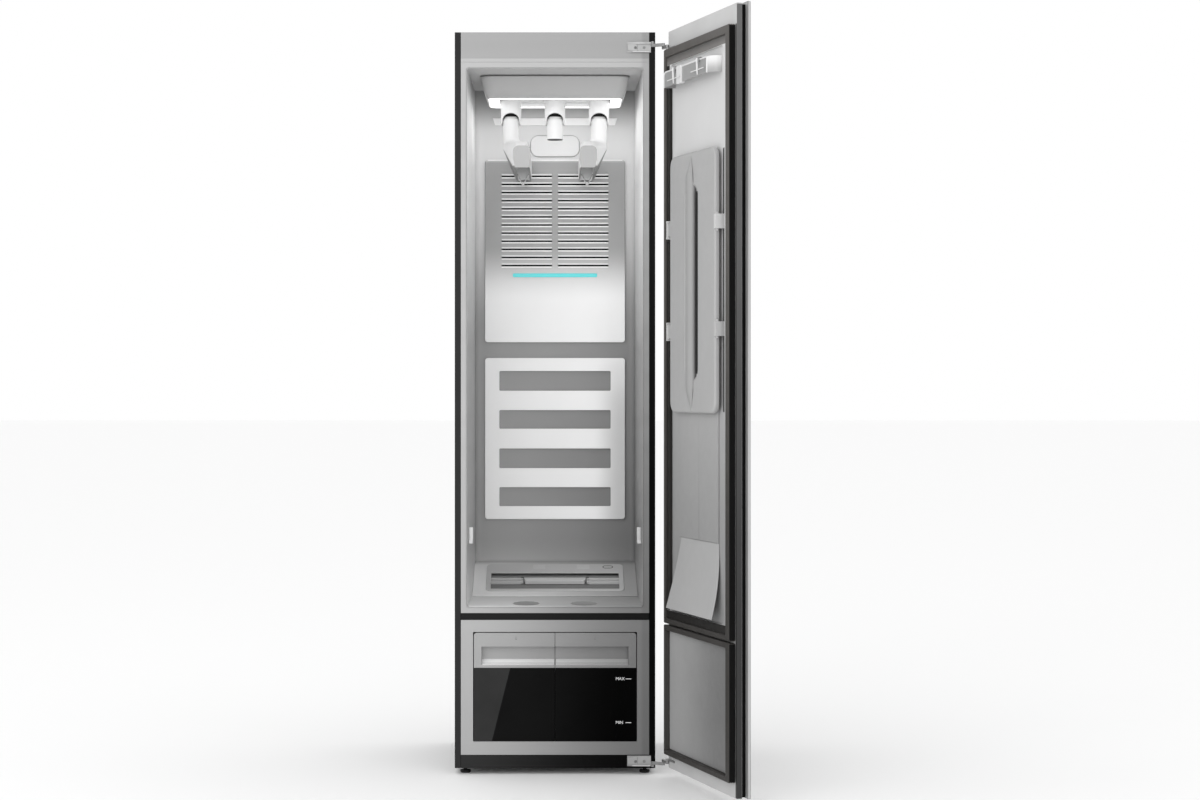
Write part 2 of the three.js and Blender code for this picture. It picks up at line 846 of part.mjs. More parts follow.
function buildAirHead() {
  const body = loft([
    headSection(headTopWidth, headFrontTop, headTopRadius, openingHigh - gap),
    headSection(headBottomWidth, headFrontBottom, headBottomRadius, headLow),
  ]);
  const rimHalf = headBottomWidth / 2 - ringInset;
  const rimFront = headFrontBottom + ringInset;
  const rimBack = headBack - ringInset;
  const recessOutline = (inset) => roundedRectangle(-rimHalf + ringWidth + inset, rimHalf - ringWidth - inset,
    rimFront + ringWidth + inset, rimBack - ringWidth - inset, headRecessRadius - inset);
  const recess = upward(recessOutline(0), headLow - overrun, headRecessDepth + overrun);
  const rim = roundedRectangle(-rimHalf, rimHalf, rimFront, rimBack, headBottomRadius - ringInset);
  const ringSeat = upward(withHole(rim, recessOutline(overrun)), headLow - overrun, ringDepth + overrun);
  const recessCeiling = headLow + headRecessDepth;
  const bores = [-1, 0, 1].map((side) => rod(side * collarSpacing, collarDepth, collarRadius + gap,
    recessCeiling - overrun, recessCeiling + collarBoreDepth, collarSegments));
  place('air_head', cut(body, recess, ringSeat, ...bores), panelWhite());

  const ringRim = roundedRectangle(-rimHalf + gap, rimHalf - gap, rimFront + gap, rimBack - gap,
    headBottomRadius - ringInset);
  const ring = upward(withHole(ringRim, recessOutline(0)), headLow - ringProud, ringDepth + ringProud - gap);
  place('head_light_ring', ring, glowWhite());

  const names = ['nozzle_collar_left', 'nozzle_collar_center', 'nozzle_collar_right'];
  names.forEach((name, i) => {
    const x = (i - 1) * collarSpacing;
    const high = recessCeiling + collarBoreDepth - gap;
    const low = headLow - collarLength;
    const tube = turned([
      [collarRadius - collarWall, low],
      [collarRadius, low],
      [collarRadius, recessCeiling - flareHeight - gap],
      [flareRadius, recessCeiling - gap - flareLip],
      [flareRadius, recessCeiling - gap],
      [collarRadius, recessCeiling - gap],
      [collarRadius, high],
      [collarRadius - collarWall, high],
      [collarRadius - collarWall, low],
    ], x, collarDepth, collarSegments);
    const archRadius = collarArchWidth / 2;
    const arch = new THREE.Shape();
    arch.moveTo(x - archRadius, low - overrun);
    arch.lineTo(x + archRadius, low - overrun);
    arch.lineTo(x + archRadius, low + collarArchHeight - archRadius / 2);
    arch.quadraticCurveTo(x, low + collarArchHeight + archRadius / 2, x - archRadius,
      low + collarArchHeight - archRadius / 2);
    arch.closePath();
    const opening = backward(arch, collarDepth - collarRadius - overrun, collarRadius + overrun, 8);
    place(name, cut(tube, opening), hangerWhite());
  });
}

// Neck of a hanger or plug: a tube with a rubber seal bead, pushed up into its collar
const neckHigh = headLow + headRecessDepth - neckInsert;

function neckProfile(low) {
  const sealHigh = headLow - sealDrop - sealHeight;
  return [
    [neckBore, low],
    [neckRadius, low],
    [neckRadius, sealHigh - sealHeight],
    [sealRadius, sealHigh - sealHeight + sealLip],
    [sealRadius, sealHigh - sealLip],
    [neckRadius, sealHigh],
    [neckRadius, neckHigh],
    [neckBore, neckHigh],
    [neckBore, low],
  ];
}

// Cross-section of a hanger's arm in the plane at depth y: a rounded top, an upright inner wall, and an outer
// wall that flares out above a crease. Side is -1 or 1, the way that it flares.
function armSection(side, middle, top, size, flare, creaseShare, y) {
  const outline = new THREE.Shape();
  const half = side * size.width / 2;
  const foot = side * size.bottomWidth / 2;
  const bend = side * size.radius;
  const wing = half + side * flare;
  outline.moveTo(middle - foot, top - size.height);
  outline.lineTo(middle + foot, top - size.height);
  outline.lineTo(middle + wing, top - size.height * creaseShare);
  outline.lineTo(middle + wing, top - size.radius * creaseShare);
  outline.quadraticCurveTo(middle + wing, top, middle + wing - bend, top);
  outline.lineTo(middle - half + bend, top);
  outline.quadraticCurveTo(middle - half, top, middle - half, top - size.radius);
  outline.lineTo(middle - half, top - size.height * creaseEndShare);
  return outline.extractPoints(4).shape.map((point) => new THREE.Vector3(point.x, y, point.y));
}

function buildHanger(name, side) {
  const neckX = side * collarSpacing;
  const armX = side * (collarSpacing - armInset);
  const neckLow = headLow - collarLength - neckLength;
  const armTop = neckLow + armTopRadius / 2;
  const low = armTop - armDrop - armHeight;
  const bulge = (reach) => Math.cos(reach * quarterTurn) ** 2;
  const creaseAt = (reach) => creaseEndShare + (creaseNeckShare - creaseEndShare) * bulge(reach);
  const arm = loft(armStations.map((share) => {
    const reach = Math.abs(2 * share - 1);
    const end = Math.max(0, reach - armEndShare) / (1 - armEndShare);
    const narrow = 1 - armEndTaperShare * end;
    const top = armTop - armDrop * reach ** 2 - armEndDrop * end;
    const y = armFront + (armBack - armFront) * share;
    const size = {
      width: armWidth * narrow,
      bottomWidth: armBottomWidth * narrow,
      height: top - low,
      radius: armTopRadius,
    };
    return armSection(side, armX, top, size, armFlare * bulge(reach), creaseAt(reach), y);
  }));
  const hollow = loft(armStations.map((share) => {
    const reach = Math.abs(2 * share - 1);
    const top = armTop - armDrop * reach ** 2 - armEndDrop - armWall;
    const y = armFront + armCapLength / 2 + (armBack - armFront - armCapLength) * share;
    const size = {
      width: armWidth - 2 * armWall,
      bottomWidth: armBottomWidth - 2 * armWall,
      height: top - low + overrun,
      radius: armTopRadius - armWall,
    };
    return armSection(side, armX, top, size, armFlare * bulge(reach), creaseAt(reach), y);
  }));
  const circle = (centerAt, radius, z, squeeze) => {
    const ring = [];
    for (let i = 0; i < neckSegments; i += 1) {
      const angle = i / neckSegments * 2 * halfTurn;
      ring.push(new THREE.Vector3(centerAt + radius * Math.cos(angle) * squeeze, collarDepth
        + radius * Math.sin(angle), z));
    }
    return ring;
  };
  const elbow = loft([
    circle(neckX, neckRadius, neckLow + elbowHeight / 2, 1),
    circle(neckX, neckRadius, neckLow, 1),
    circle(neckX - side * armInset * elbowBendShare, neckRadius, neckLow - elbowHeight / 2, 1),
    circle(armX, neckRadius, neckLow - elbowHeight, (armWidth / 2 - elbowSideGap) / neckRadius),
  ]);
  const elbowBore = loft([
    circle(neckX, neckBore, neckLow + elbowHeight / 2 + overrun, 1),
    circle(neckX, neckBore, neckLow, 1),
    circle(neckX - side * armInset * elbowBendShare, neckBore, neckLow - elbowHeight / 2, 1),
    circle(armX, neckBore, neckLow - elbowHeight - overrun, 1),
  ]);
  const neck = turned(neckProfile(neckLow + elbowHeight / 4), neckX, collarDepth, neckSegments);
  const body = cut(join(arm, elbow), hollow, elbowBore);
  const hook = polygon([
    [armX - hookSpread / 2, low + hookBridge],
    [armX, low - hookDrop],
    [armX + hookSpread / 2, low + hookBridge],
    [armX + hookSpread / 2 - 2 * hookWire, low + hookBridge],
    [armX, low - hookDrop + 4 * hookWire],
    [armX - hookSpread / 2 + 2 * hookWire, low + hookBridge],
  ]);
  const wire = backward(hook, collarDepth - hookWire / 2, hookWire);
  const bridgeHalf = armBottomWidth / 2 + hookWire;
  const bridge = block(armX - bridgeHalf, armX + bridgeHalf, collarDepth - hookWire, collarDepth + hookWire,
    low + hookBridge / 2, low + hookBridge + hookWire);
  place(name, join(body, neck, bridge, wire), hangerWhite());
}

function buildHangers() {
  buildHanger('air_hanger_left', -1);
  buildHanger('air_hanger_right', 1);
  const plugLow = headLow - plugLength - collarLength / 2;
  const plug = turned([
    [plugTipRadius - plugWall, plugLow],
    [plugTipRadius, plugLow],
    ...neckProfile(plugLow + plugLength / 2).slice(1, -2),
    [plugTipRadius - plugWall, neckHigh],
    [plugTipRadius - plugWall, plugLow],
  ], centerX, collarDepth, neckSegments);
  place('center_nozzle', plug, hangerWhite());
}

// Shelf supports: small brackets with a sloped arm on the side walls
function buildSupports() {
  for (const [name, side] of [['shelf_support_left', -1], ['shelf_support_right', 1]]) {
    const high = openingLow + supportHigh - supportHeight / 2;
    const wallHere = openingHalf - chamberDraft * (supportSetback + supportLength) / chamberDepth - gap;
    const profile = polygon([
      [supportSetback, high - supportHeight],
      [supportSetback + supportThickness, high - supportHeight],
      [supportSetback + supportLength, high - supportHeight + supportArm],
      [supportSetback + supportLength, high - supportArm / 2],
      [supportSetback + supportThickness, high],
      [supportSetback, high],
    ]);
    const ledge = polygon([
      [supportSetback - supportArm, high - supportHeight],
      [supportSetback + supportLength, high - supportHeight],
      [supportSetback + supportLength, high - supportHeight + supportThickness / 2],
      [supportSetback - supportArm, high - supportHeight + supportThickness],
    ]);
    const left = side < 0 ? -wallHere : wallHere - supportThickness;
    const bracket = join(sideways(profile, left, supportThickness), sideways(ledge, left, supportThickness));
    place(name, bracket, panelWhite());
  }
}

// Filter console: a sloped housing across the back of the floor, with a lift-out filter cover
const slopeRun = chamberDepth - gap - consoleFront;
const slopeAngle = Math.atan2(consoleRise - consoleLip, slopeRun);
const slopeLow = chamberFloor + gap;

// Moves a piece drawn on a level table, y up the slope and z off it, onto the console's slope
function ontoSlope(geometry) {
  return geometry.rotateX(slopeAngle).translate(0, consoleFront, slopeLow + consoleLip);
}

function buildConsole() {
  const half = openingHalf;
  const back = chamberDepth - gap;
  const backRise = consoleLip + (back - consoleFront) * Math.tan(slopeAngle);
  const outer = polygon([
    [consoleFront, slopeLow],
    [back, slopeLow],
    [back, slopeLow + backRise],
    [consoleFront, slopeLow + consoleLip],
  ]);
  const innerFront = consoleFront + 3 * consoleSkin;
  const inner = polygon([
    [innerFront, slopeLow - overrun],
    [back - consoleSkin, slopeLow - overrun],
    [back - consoleSkin, slopeLow + backRise - consoleBackSkin],
    [innerFront, slopeLow + consoleLip + (innerFront - consoleFront) * Math.tan(slopeAngle) - consoleSkin],
  ]);
  const innerHalfWidth = half - chamberDraft - consoleSkin;
  const wedge = common(sideways(outer, -half, 2 * half),
    upward(chamberOutline(0, gap), slopeLow - overrun, 2 * consoleRise, 3));
  const shell = cut(wedge, sideways(inner, -innerHalfWidth, 2 * innerHalfWidth));
  const mouthHalf = coverWidth / 2 - trayInset + clipGap;
  const mouth = ontoSlope(block(-mouthHalf, mouthHalf, coverSetback + trayInset - clipGap,
    coverSetback + coverLength - trayInset + clipGap, -4 * consoleSkin, overrun));
  place('filter_console', cut(shell, mouth), chamberGrey());
}

function buildFilterCover() {
  const half = coverWidth / 2;
  const outline = roundedRectangle(-half, half, coverSetback, coverSetback + coverLength, coverRadius);
  const plate = upward(outline, gap, coverThickness);
  const trayHalf = half - trayInset;
  const tray = block(-trayHalf, trayHalf, coverSetback + trayInset, coverSetback + coverLength - trayInset,
    -trayDepth, coverThickness / 2);
  const slots = [];
  for (let i = 0; i < grilleSlots; i += 1) {
    const low = coverSetback + grilleLow + i * grillePitch;
    slots.push(block(-grilleWidth / 2, grilleWidth / 2, low, low + grilleSlot, -grilleDepth,
      coverThickness + overrun));
  }
  const pullLow = coverSetback + pullSetback;
  const pull = upward(polygon([
    [-pullWidth / 2 + pullAngleInset, pullLow],
    [pullWidth / 2 - pullAngleInset, pullLow],
    [pullWidth / 2, pullLow + pullHeight],
    [-pullWidth / 2, pullLow + pullHeight],
  ]), gap, coverThickness + pullProud);
  place('filter_cover', ontoSlope(join(cut(join(plate, tray), ...slots), pull)), panelWhite());
}

// Tank bay: the lower grey panel with a walled bay behind its opening
const tankBottom = panelLow + tankLow;
const tankTop = tankBottom + tankWindowHeight + gap + tankLidHeight;
const tankPairHalf = tankWidth + tankGap / 2;

function buildTankBay() {
  const bayHalf = tankPairHalf + bayClearance;
  const bayLow = tankBottom - gap;
  const bayHigh = tankTop + bayClearance;
  const bayBack = tankDepth + bayClearance;
  const panel = backward(rectangle(-innerHalf, innerHalf, panelLow, dividerLow - gap), 0, bayPanelThickness);
  const casing = block(-bayHalf - bayWall, bayHalf + bayWall, bayPanelThickness / 2, bayBack + bayWall,
    bayLow - bayWall, bayHigh + bayWall);
  const bay = backward(roundedRectangle(-bayHalf, bayHalf, bayLow, bayHigh, bayClearance), -overrun,
    bayBack + overrun, 2);
  place('tank_bay', cut(join(panel, casing), bay), greySatin());
}

// A water tank: an open container with a glossy black front, closed by a lid with half of the long grip
function buildTank(name, side) {
  const inner = tankGap / 2;
  const outer = inner + tankWidth;
  const left = side < 0 ? -outer : inner;
  const right = side < 0 ? -inner : outer;
  const windowHigh = tankBottom + tankWindowHeight;
  const container = block(left, right, -tankProud, tankDepth, tankBottom, windowHigh);
  const hollow = block(left + tankWall, right - tankWall, tankWall, tankDepth - tankWall,
    tankBottom + tankWall, windowHigh + overrun);
  place(name, cut(container, hollow), blackGloss());

  const lidLow = windowHigh + gap;
  const profile = new THREE.Shape();
  profile.moveTo(-tankProud, lidLow);
  profile.lineTo(tankDepth, lidLow);
  profile.lineTo(tankDepth, lidLow + lidShelfHeight);
  profile.lineTo(lidFrontDepth + lidShelfHeight, lidLow + lidShelfHeight);
  profile.quadraticCurveTo(lidFrontDepth, lidLow + lidShelfHeight, lidFrontDepth,
    lidLow + 2 * lidShelfHeight);
  profile.lineTo(lidFrontDepth, lidLow + tankLidHeight);
  profile.lineTo(-tankProud, lidLow + tankLidHeight);
  profile.closePath();
  const full = sideways(profile, left, right - left);
  const corner = new THREE.Shape();
  const outerX = side < 0 ? left : right;
  corner.moveTo(outerX, lidLow + tankLidHeight + overrun);
  corner.lineTo(outerX + side * overrun, lidLow + tankLidHeight + overrun);
  corner.lineTo(outerX + side * overrun, lidLow + tankLidHeight - tankCornerRadius);
  corner.lineTo(outerX, lidLow + tankLidHeight - tankCornerRadius);
  corner.quadraticCurveTo(outerX, lidLow + tankLidHeight, outerX - side * tankCornerRadius,
    lidLow + tankLidHeight);
  corner.lineTo(outerX - side * tankCornerRadius, lidLow + tankLidHeight + overrun);
  corner.closePath();
  const rounding = backward(corner, -tankProud - overrun, tankDepth + 2 * overrun);
  const gripBottom = lidLow + gripLow;
  const grip = polygon([
    [-tankProud - overrun, gripBottom],
    [-tankProud + gripSlope, gripBottom + gripSlope / 3],
    [gripDepth, gripBottom + gripSlope],
    [gripDepth, gripBottom + gripHeight],
    [-tankProud - overrun, gripBottom + gripHeight],
  ]);
  const gripLeft = side < 0 ? -gripWidth : inner - overrun;
  const gripSpan = gripWidth - inner + overrun;
  const gripCut = sideways(grip, gripLeft, gripSpan);
  const lipWedge = polygon([
    [-gripEdgeRadius, gripBottom],
    [gripEdgeRadius, gripBottom],
    [0, gripBottom + gripEdgeRadius],
  ]);
  const lip = sideways(lipWedge, gripLeft, gripSpan);
  place(`${name}_lid`, cut(full, rounding, gripCut, lip), greySatin());
}

// Machines under and behind the chamber
function buildMachines() {
  const floor = footHeight + trayFloor + gap;
  const compressor = turned([
    [0, floor],
    [compressorFootRadius, floor],
    [compressorFootRadius, floor + compressorFootHeight / 2],
    [compressorRadius, floor + compressorFootHeight],
    [compressorRadius, floor + compressorHeight * domeLowShare],
    [compressorRadius * domeWidthShare, floor + compressorHeight * domeHighShare],
    [compressorRadius * domeTopShare, floor + compressorHeight],
    [0, floor + compressorHeight],
  ], compressorX, compressorY, 18);
  place('compressor', compressor, blackRubber());

  const boiler = turned([
    [0, floor],
    [boilerFlangeRadius, floor],
    [boilerFlangeRadius, floor + boilerFlangeHeight],
    [boilerRadius, floor + boilerFlangeHeight],
    [boilerRadius, floor + boilerHeight - boilerFlangeHeight],
    [boilerFlangeRadius, floor + boilerHeight - boilerFlangeHeight],
    [boilerFlangeRadius, floor + boilerHeight],
    [boilerPipeRadius, floor + boilerHeight],
    [boilerPipeRadius, floor + boilerHeight + boilerPipeHeight],
    [0, floor + boilerHeight + boilerPipeHeight],
  ], boilerX, boilerY, 18);
  place('steam_generator', boiler, brightSteel());

  const exchangerFront = linerBack + gap;
  const exchangerBack = exchangerFront + exchangerDepth;
  let fins = block(-exchangerWidth / 2, exchangerWidth / 2, exchangerFront + exchangerDepth / 3,
    exchangerBack - exchangerDepth / 3, exchangerLow, exchangerLow + exchangerTube);
  fins = join(fins, block(-exchangerWidth / 2, exchangerWidth / 2, exchangerFront + exchangerDepth / 3,
    exchangerBack - exchangerDepth / 3, exchangerLow + exchangerHeight - exchangerTube,
    exchangerLow + exchangerHeight));
  const finPitch = (exchangerWidth - exchangerFin) / (exchangerFins - 1);
  const sheets = [];
  for (let i = 0; i < exchangerFins; i += 1) {
    const left = -exchangerWidth / 2 + i * finPitch;
    sheets.push(block(left, left + exchangerFin, exchangerFront, exchangerBack, exchangerLow - exchangerFin,
      exchangerLow + exchangerHeight + exchangerFin));
  }
  place('heat_exchanger', join(fins, ...sheets), brightSteel());
}

// Blower in the rear duct: a spiral housing with a bladed wheel on the motor's shaft
function spiral(radius, growth, steps = 28) {
  const points = [];
  for (let i = 0; i <= steps; i += 1) {
    const share = i / steps;
    const angle = quarterTurn + share * 2 * halfTurn;
    const reach = radius + growth * share;
    points.push([reach * Math.cos(angle), reach * Math.sin(angle)]);
  }
  return polygon(points);
}

function buildBlower() {
  const front = linerBack + gap;
  const back = front + blowerDepth;
  const casing = backward(spiral(blowerRadius, blowerGrowth), front, blowerDepth);
  const inside = backward(spiral(blowerRadius - blowerWall, blowerGrowth), front + blowerWall,
    blowerDepth - 2 * blowerWall);
  const intake = rod(centerX, 0, blowerIntakeRadius, -blowerDepth, 0, 28)
    .rotateX(quarterTurn)
    .translate(0, front - overrun, 0);
  const outlet = block(overrun, blowerOutletWidth, front + blowerWall, back - blowerWall,
    blowerRadius - blowerOutletWidth, blowerRadius + blowerGrowth + overrun);
  const motor = rod(centerX, 0, blowerMotorRadius, 0, blowerMotorDepth, 24)
    .rotateX(quarterTurn)
    .translate(0, back - blowerWall / 2, 0);
  const shaft = rod(centerX, 0, blowerShaftRadius, 0, blowerDepth - 2 * blowerWall - overrun, 20)
    .rotateX(quarterTurn)
    .translate(0, back - blowerWall / 2, 0);
  const intakeOnly = common(intake, block(-blowerRadius, blowerRadius, front - 2 * overrun,
    front + 2 * blowerWall, -blowerRadius, blowerRadius));
  const housing = join(cut(casing, inside, intakeOnly, outlet), motor, shaft).translate(0, 0, blowerZ);
  place('blower_housing', housing, castGrey());

  const wheelBack = back - blowerMotorDepth - overrun;
  const wheelFront = wheelBack - wheelBladeDepth;
  const towardBack = (geometry) => geometry.rotateX(quarterTurn).translate(0, wheelBack, 0);
  let wheel = towardBack(rod(centerX, 0, wheelRadius, 0, wheelDisc, 28));
  wheel = join(wheel, towardBack(rod(centerX, 0, wheelHubRadius, 0, wheelBladeDepth * wheelHubShare, 24)));
  const blades = [];
  for (let i = 0; i < wheelBladeCount; i += 1) {
    const blade = backward(
      rectangle(wheelRadius - wheelBladeLength, wheelRadius - gap, -wheelBladeThickness / 2,
        wheelBladeThickness / 2),
      wheelFront, wheelBladeDepth - wheelDisc / 2);
    blades.push(blade.rotateY(i / wheelBladeCount * 2 * halfTurn));
  }
  const rimRing = backward(
    withHole(circleShape(wheelRadius), circleShape(wheelRadius - wheelBladeLength / 3)),
    wheelFront, wheelDisc, 14);
  const bore = towardBack(rod(centerX, 0, blowerShaftRadius + gap, -blowerDepth, blowerDepth, 20));
  wheel = cut(join(wheel, ...blades, rimRing), bore).translate(0, 0, blowerZ);
  place('blower_wheel', wheel, blackRubber());
}

function circleShape(radius) {
  const shape = new THREE.Shape();
  shape.absarc(0, 0, radius, 0, 2 * halfTurn, false);
  return shape;
}

// Door leaf: grey body, dark grip recess and decor front panel, drawn in the closed place
const doorFace = -doorGap;

function buildDoorLeaf() {
  const body = backwardBevelled(
    roundedRectangle(-doorHalfWidth, doorHalfWidth, doorLow, doorHigh, doorEdgeRadius),
    doorFace - doorBodyThickness, doorBodyThickness, doorEdgeRadius / 2, 2);
  place('door_inner_panel', body, greySatin(), doorGroup);
  const recessFront = doorFace - doorBodyThickness - doorRecessThickness;
  const recess = backward(
    rectangle(-doorHalfWidth + doorRecessInset, doorHalfWidth - doorEdgeRadius, doorLow + doorEdgeRadius,
      doorHigh - doorEdgeRadius),
    recessFront, doorRecessThickness - gap);
  place('door_recess_spacer', recess, blackRubber(), doorGroup);
  const panel = backwardBevelled(
    rectangle(-halfWidth, halfWidth, doorLow, doorPanelHigh),
    recessFront - gap - doorPanelThickness, doorPanelThickness, doorEdgeRadius / 2);
  place('door_front_panel', panel, greySatin(), doorGroup);
}

// Depth of the press plate and of its hinge axis, behind the door's inner face
const pressFront = doorFace + gap + linerPlate + boardThickness + gap + pressBack / 2;
const pressAxisOut = pressFront + pressThickness / 2;

// Window inside a gasket frame, on the hinge side, the free side and both ends
const windowHinge = doorHalfWidth - gasketInset - gasketHingeFace;
const windowFree = -doorHalfWidth + gasketInset + gasketFreeFace;

function buildGasketFrame(name, low, high, windowLow, windowHigh) {
  const outerHalf = doorHalfWidth - gasketInset;
  const depth = doorGap - gap - seatClearance;
  const hole = roundedRectangle(windowFree, windowHinge, windowLow, windowHigh, gasketBevel);
  const outline = withHole(roundedRectangle(-outerHalf, outerHalf, low, high, gasketBevel), hole);
  const frame = backwardBevelled(outline, doorFace + gap, depth, gasketBevel / 2, 2);
  const ringOuter = rectangle(-outerHalf - overrun, outerHalf + overrun, low - overrun, high + overrun);
  const ringInner = rectangle(-outerHalf + gasketGroove, outerHalf - gasketGroove, low + gasketGroove,
    high - gasketGroove);
  const grooves = [1, 2].map((step) => backward(withHole(ringOuter.clone(), ringInner),
    doorFace + gap + depth * step / 3 - gasketGrooveWidth / 2, gasketGrooveWidth));
  place(name, cut(frame, ...grooves), gasketBrown(), doorGroup);
}

function buildDoorLining() {
  const upperLow = gasketSplit + gasketSplitGap;
  const upperWindowLow = upperLow + gasketBottomFace;
  const upperWindowHigh = gasketHigh - gasketTopFace;
  buildGasketFrame('gasket_frame_upper', upperLow, gasketHigh, upperWindowLow, upperWindowHigh);
  const lowerWindowLow = gasketLow + gasketBottomFace;
  const lowerWindowHigh = gasketSplit - gasketBottomFace;
  buildGasketFrame('gasket_frame_lower', gasketLow, gasketSplit, lowerWindowLow, lowerWindowHigh);

  const clear = seatClearance;
  const plateFront = doorFace + gap;
  const tray = backward(
    roundedRectangle(windowFree + clear, windowHinge - clear, upperWindowLow + clear, upperWindowHigh - clear,
      gasketBevel),
    plateFront, linerBorder, 2);
  const pocket = backward(
    roundedRectangle(windowFree + linerMargin, windowHinge - linerMargin, upperWindowLow + linerMargin,
      upperWindowHigh - linerMargin, linerRecessRadius),
    plateFront + linerPlate, linerBorder, 5);
  const clipFront = plateFront + linerPlate / 2;
  const clipBack = plateFront + linerPlate + pressBack + pressThickness + clipProud;
  const clips = [];
  const earLeft = pressHingeX + knuckleOffset - earReach;
  const earRight = pressHingeX + knuckleOffset + earReach;
  const earBack = pressAxisOut + earReach;
  for (const clipLow of clipLows) {
    const clipHigh = clipLow + clipHeight;
    clips.push(
      block(earLeft, earRight, clipFront, earBack, clipLow - gap - earThickness, clipLow - gap),
      block(earLeft, earRight, clipFront, earBack, clipHigh + gap, clipHigh + gap + earThickness),
      block(pressFreeX - clipGap - clipWidth, pressFreeX - clipGap, clipFront, clipBack, clipLow, clipHigh));
  }
  place('door_liner', join(cut(tray, pocket), ...clips), chamberGrey(), doorGroup);

  const insert = backwardBevelled(
    roundedRectangle(windowFree + clear, windowHinge - clear, lowerWindowLow + clear, lowerWindowHigh - clear,
      gasketBevel),
    plateFront, insertThickness, backPanelBevel, 2);
  place('door_insert_lower', insert, greySatin(), doorGroup);
}

// Trouser press: a crowned plate with a long ridge in a finger scoop, hinged on two knuckles
function buildPress() {
  const outline = roundedRectangle(pressFreeX, pressHingeX, pressLow, pressHigh, pressRadius);
  const plate = backwardBevelled(outline, pressFront, pressThickness, pressBevel, 5);
  const middle = (pressFreeX + pressHingeX) / 2;
  const face = pressFront + pressThickness;
  const height = (pressLow + pressHigh) / 2;
  const scoop = new THREE.SphereGeometry(1, 16, 10)
    .scale(scoopWidth / 2, scoopDepth, scoopLength / 2)
    .translate(middle, face, height);
  const ridgeRing = (half, rise, z) => [
    new THREE.Vector3(middle - half, face - scoopDepth - overrun, z),
    new THREE.Vector3(middle + half, face - scoopDepth - overrun, z),
    new THREE.Vector3(middle + half * ridgeShoulderShare, face + rise * ridgeShoulderShare, z),
    new THREE.Vector3(middle, face + rise, z),
    new THREE.Vector3(middle - half * ridgeShoulderShare, face + rise * ridgeShoulderShare, z),
  ];
  const half = ridgeWidth / 2;
  const tipHalf = half * ridgeTipWidthShare;
  const tipRise = ridgeHeight * ridgeTipHeightShare;
  const ridge = loft([
    ridgeRing(tipHalf, tipRise, pressLow + ridgeMargin),
    ridgeRing(half, ridgeHeight, pressLow + ridgeMargin + ridgeTip),
    ridgeRing(half, ridgeHeight, pressHigh - ridgeMargin - ridgeTip),
    ridgeRing(tipHalf, tipRise, pressHigh - ridgeMargin),
  ]);
  const knuckles = clipLows.flatMap((clipLow) => [
    rod(pressHingeX + knuckleOffset, pressAxisOut, knuckleRadius, clipLow, clipLow + clipHeight, 14),
    block(pressHingeX - pressBevel, pressHingeX + knuckleOffset, pressAxisOut - knuckleWeb,
      pressAxisOut + knuckleWeb, clipLow, clipLow + clipHeight),
  ]);
  place('press_plate', join(cut(plate, scoop), ridge, ...knuckles), panelWhite(), doorGroup);
}

// Backing board under the press, and the moulded flap that leads from it towards the chamber
function buildBoard() {
  const front = doorFace + gap + linerPlate + gap;
  const board = backward(rectangle(boardFree, boardHinge, boardLow, pressHigh - pressRadius), front,
    boardThickness);
  const middle = (boardFree + boardHinge) / 2;
  const line = block(middle - boardGroove / 2, middle + boardGroove / 2, front + boardThickness - boardGroove,
    front + boardThickness + overrun, boardLow - overrun, pressHigh);
  place('backing_board', cut(board, line), chamberGrey(), doorGroup);

  const rings = [];
  for (let i = 0; i <= flapSteps; i += 1) {
    const share = i / flapSteps;
    const z = boardLow - gap - (boardLow - gap - flapLow) * share;
    const reach = front + flapReach * share ** 2;
    const spread = Math.sin(share * quarterTurn);
    const hinge = boardHinge + (flapBottomHinge - boardHinge) * spread;
    const free = boardFree + (flapBottomFree - boardFree) * spread;
    rings.push([
      new THREE.Vector3(free, reach, z),
      new THREE.Vector3(hinge, reach, z),
      new THREE.Vector3(hinge, reach + flapThickness, z),
      new THREE.Vector3(free, reach + flapThickness, z),
    ]);
  }
  place('lower_flap', loft(rings), panelWhite(), doorGroup);
}

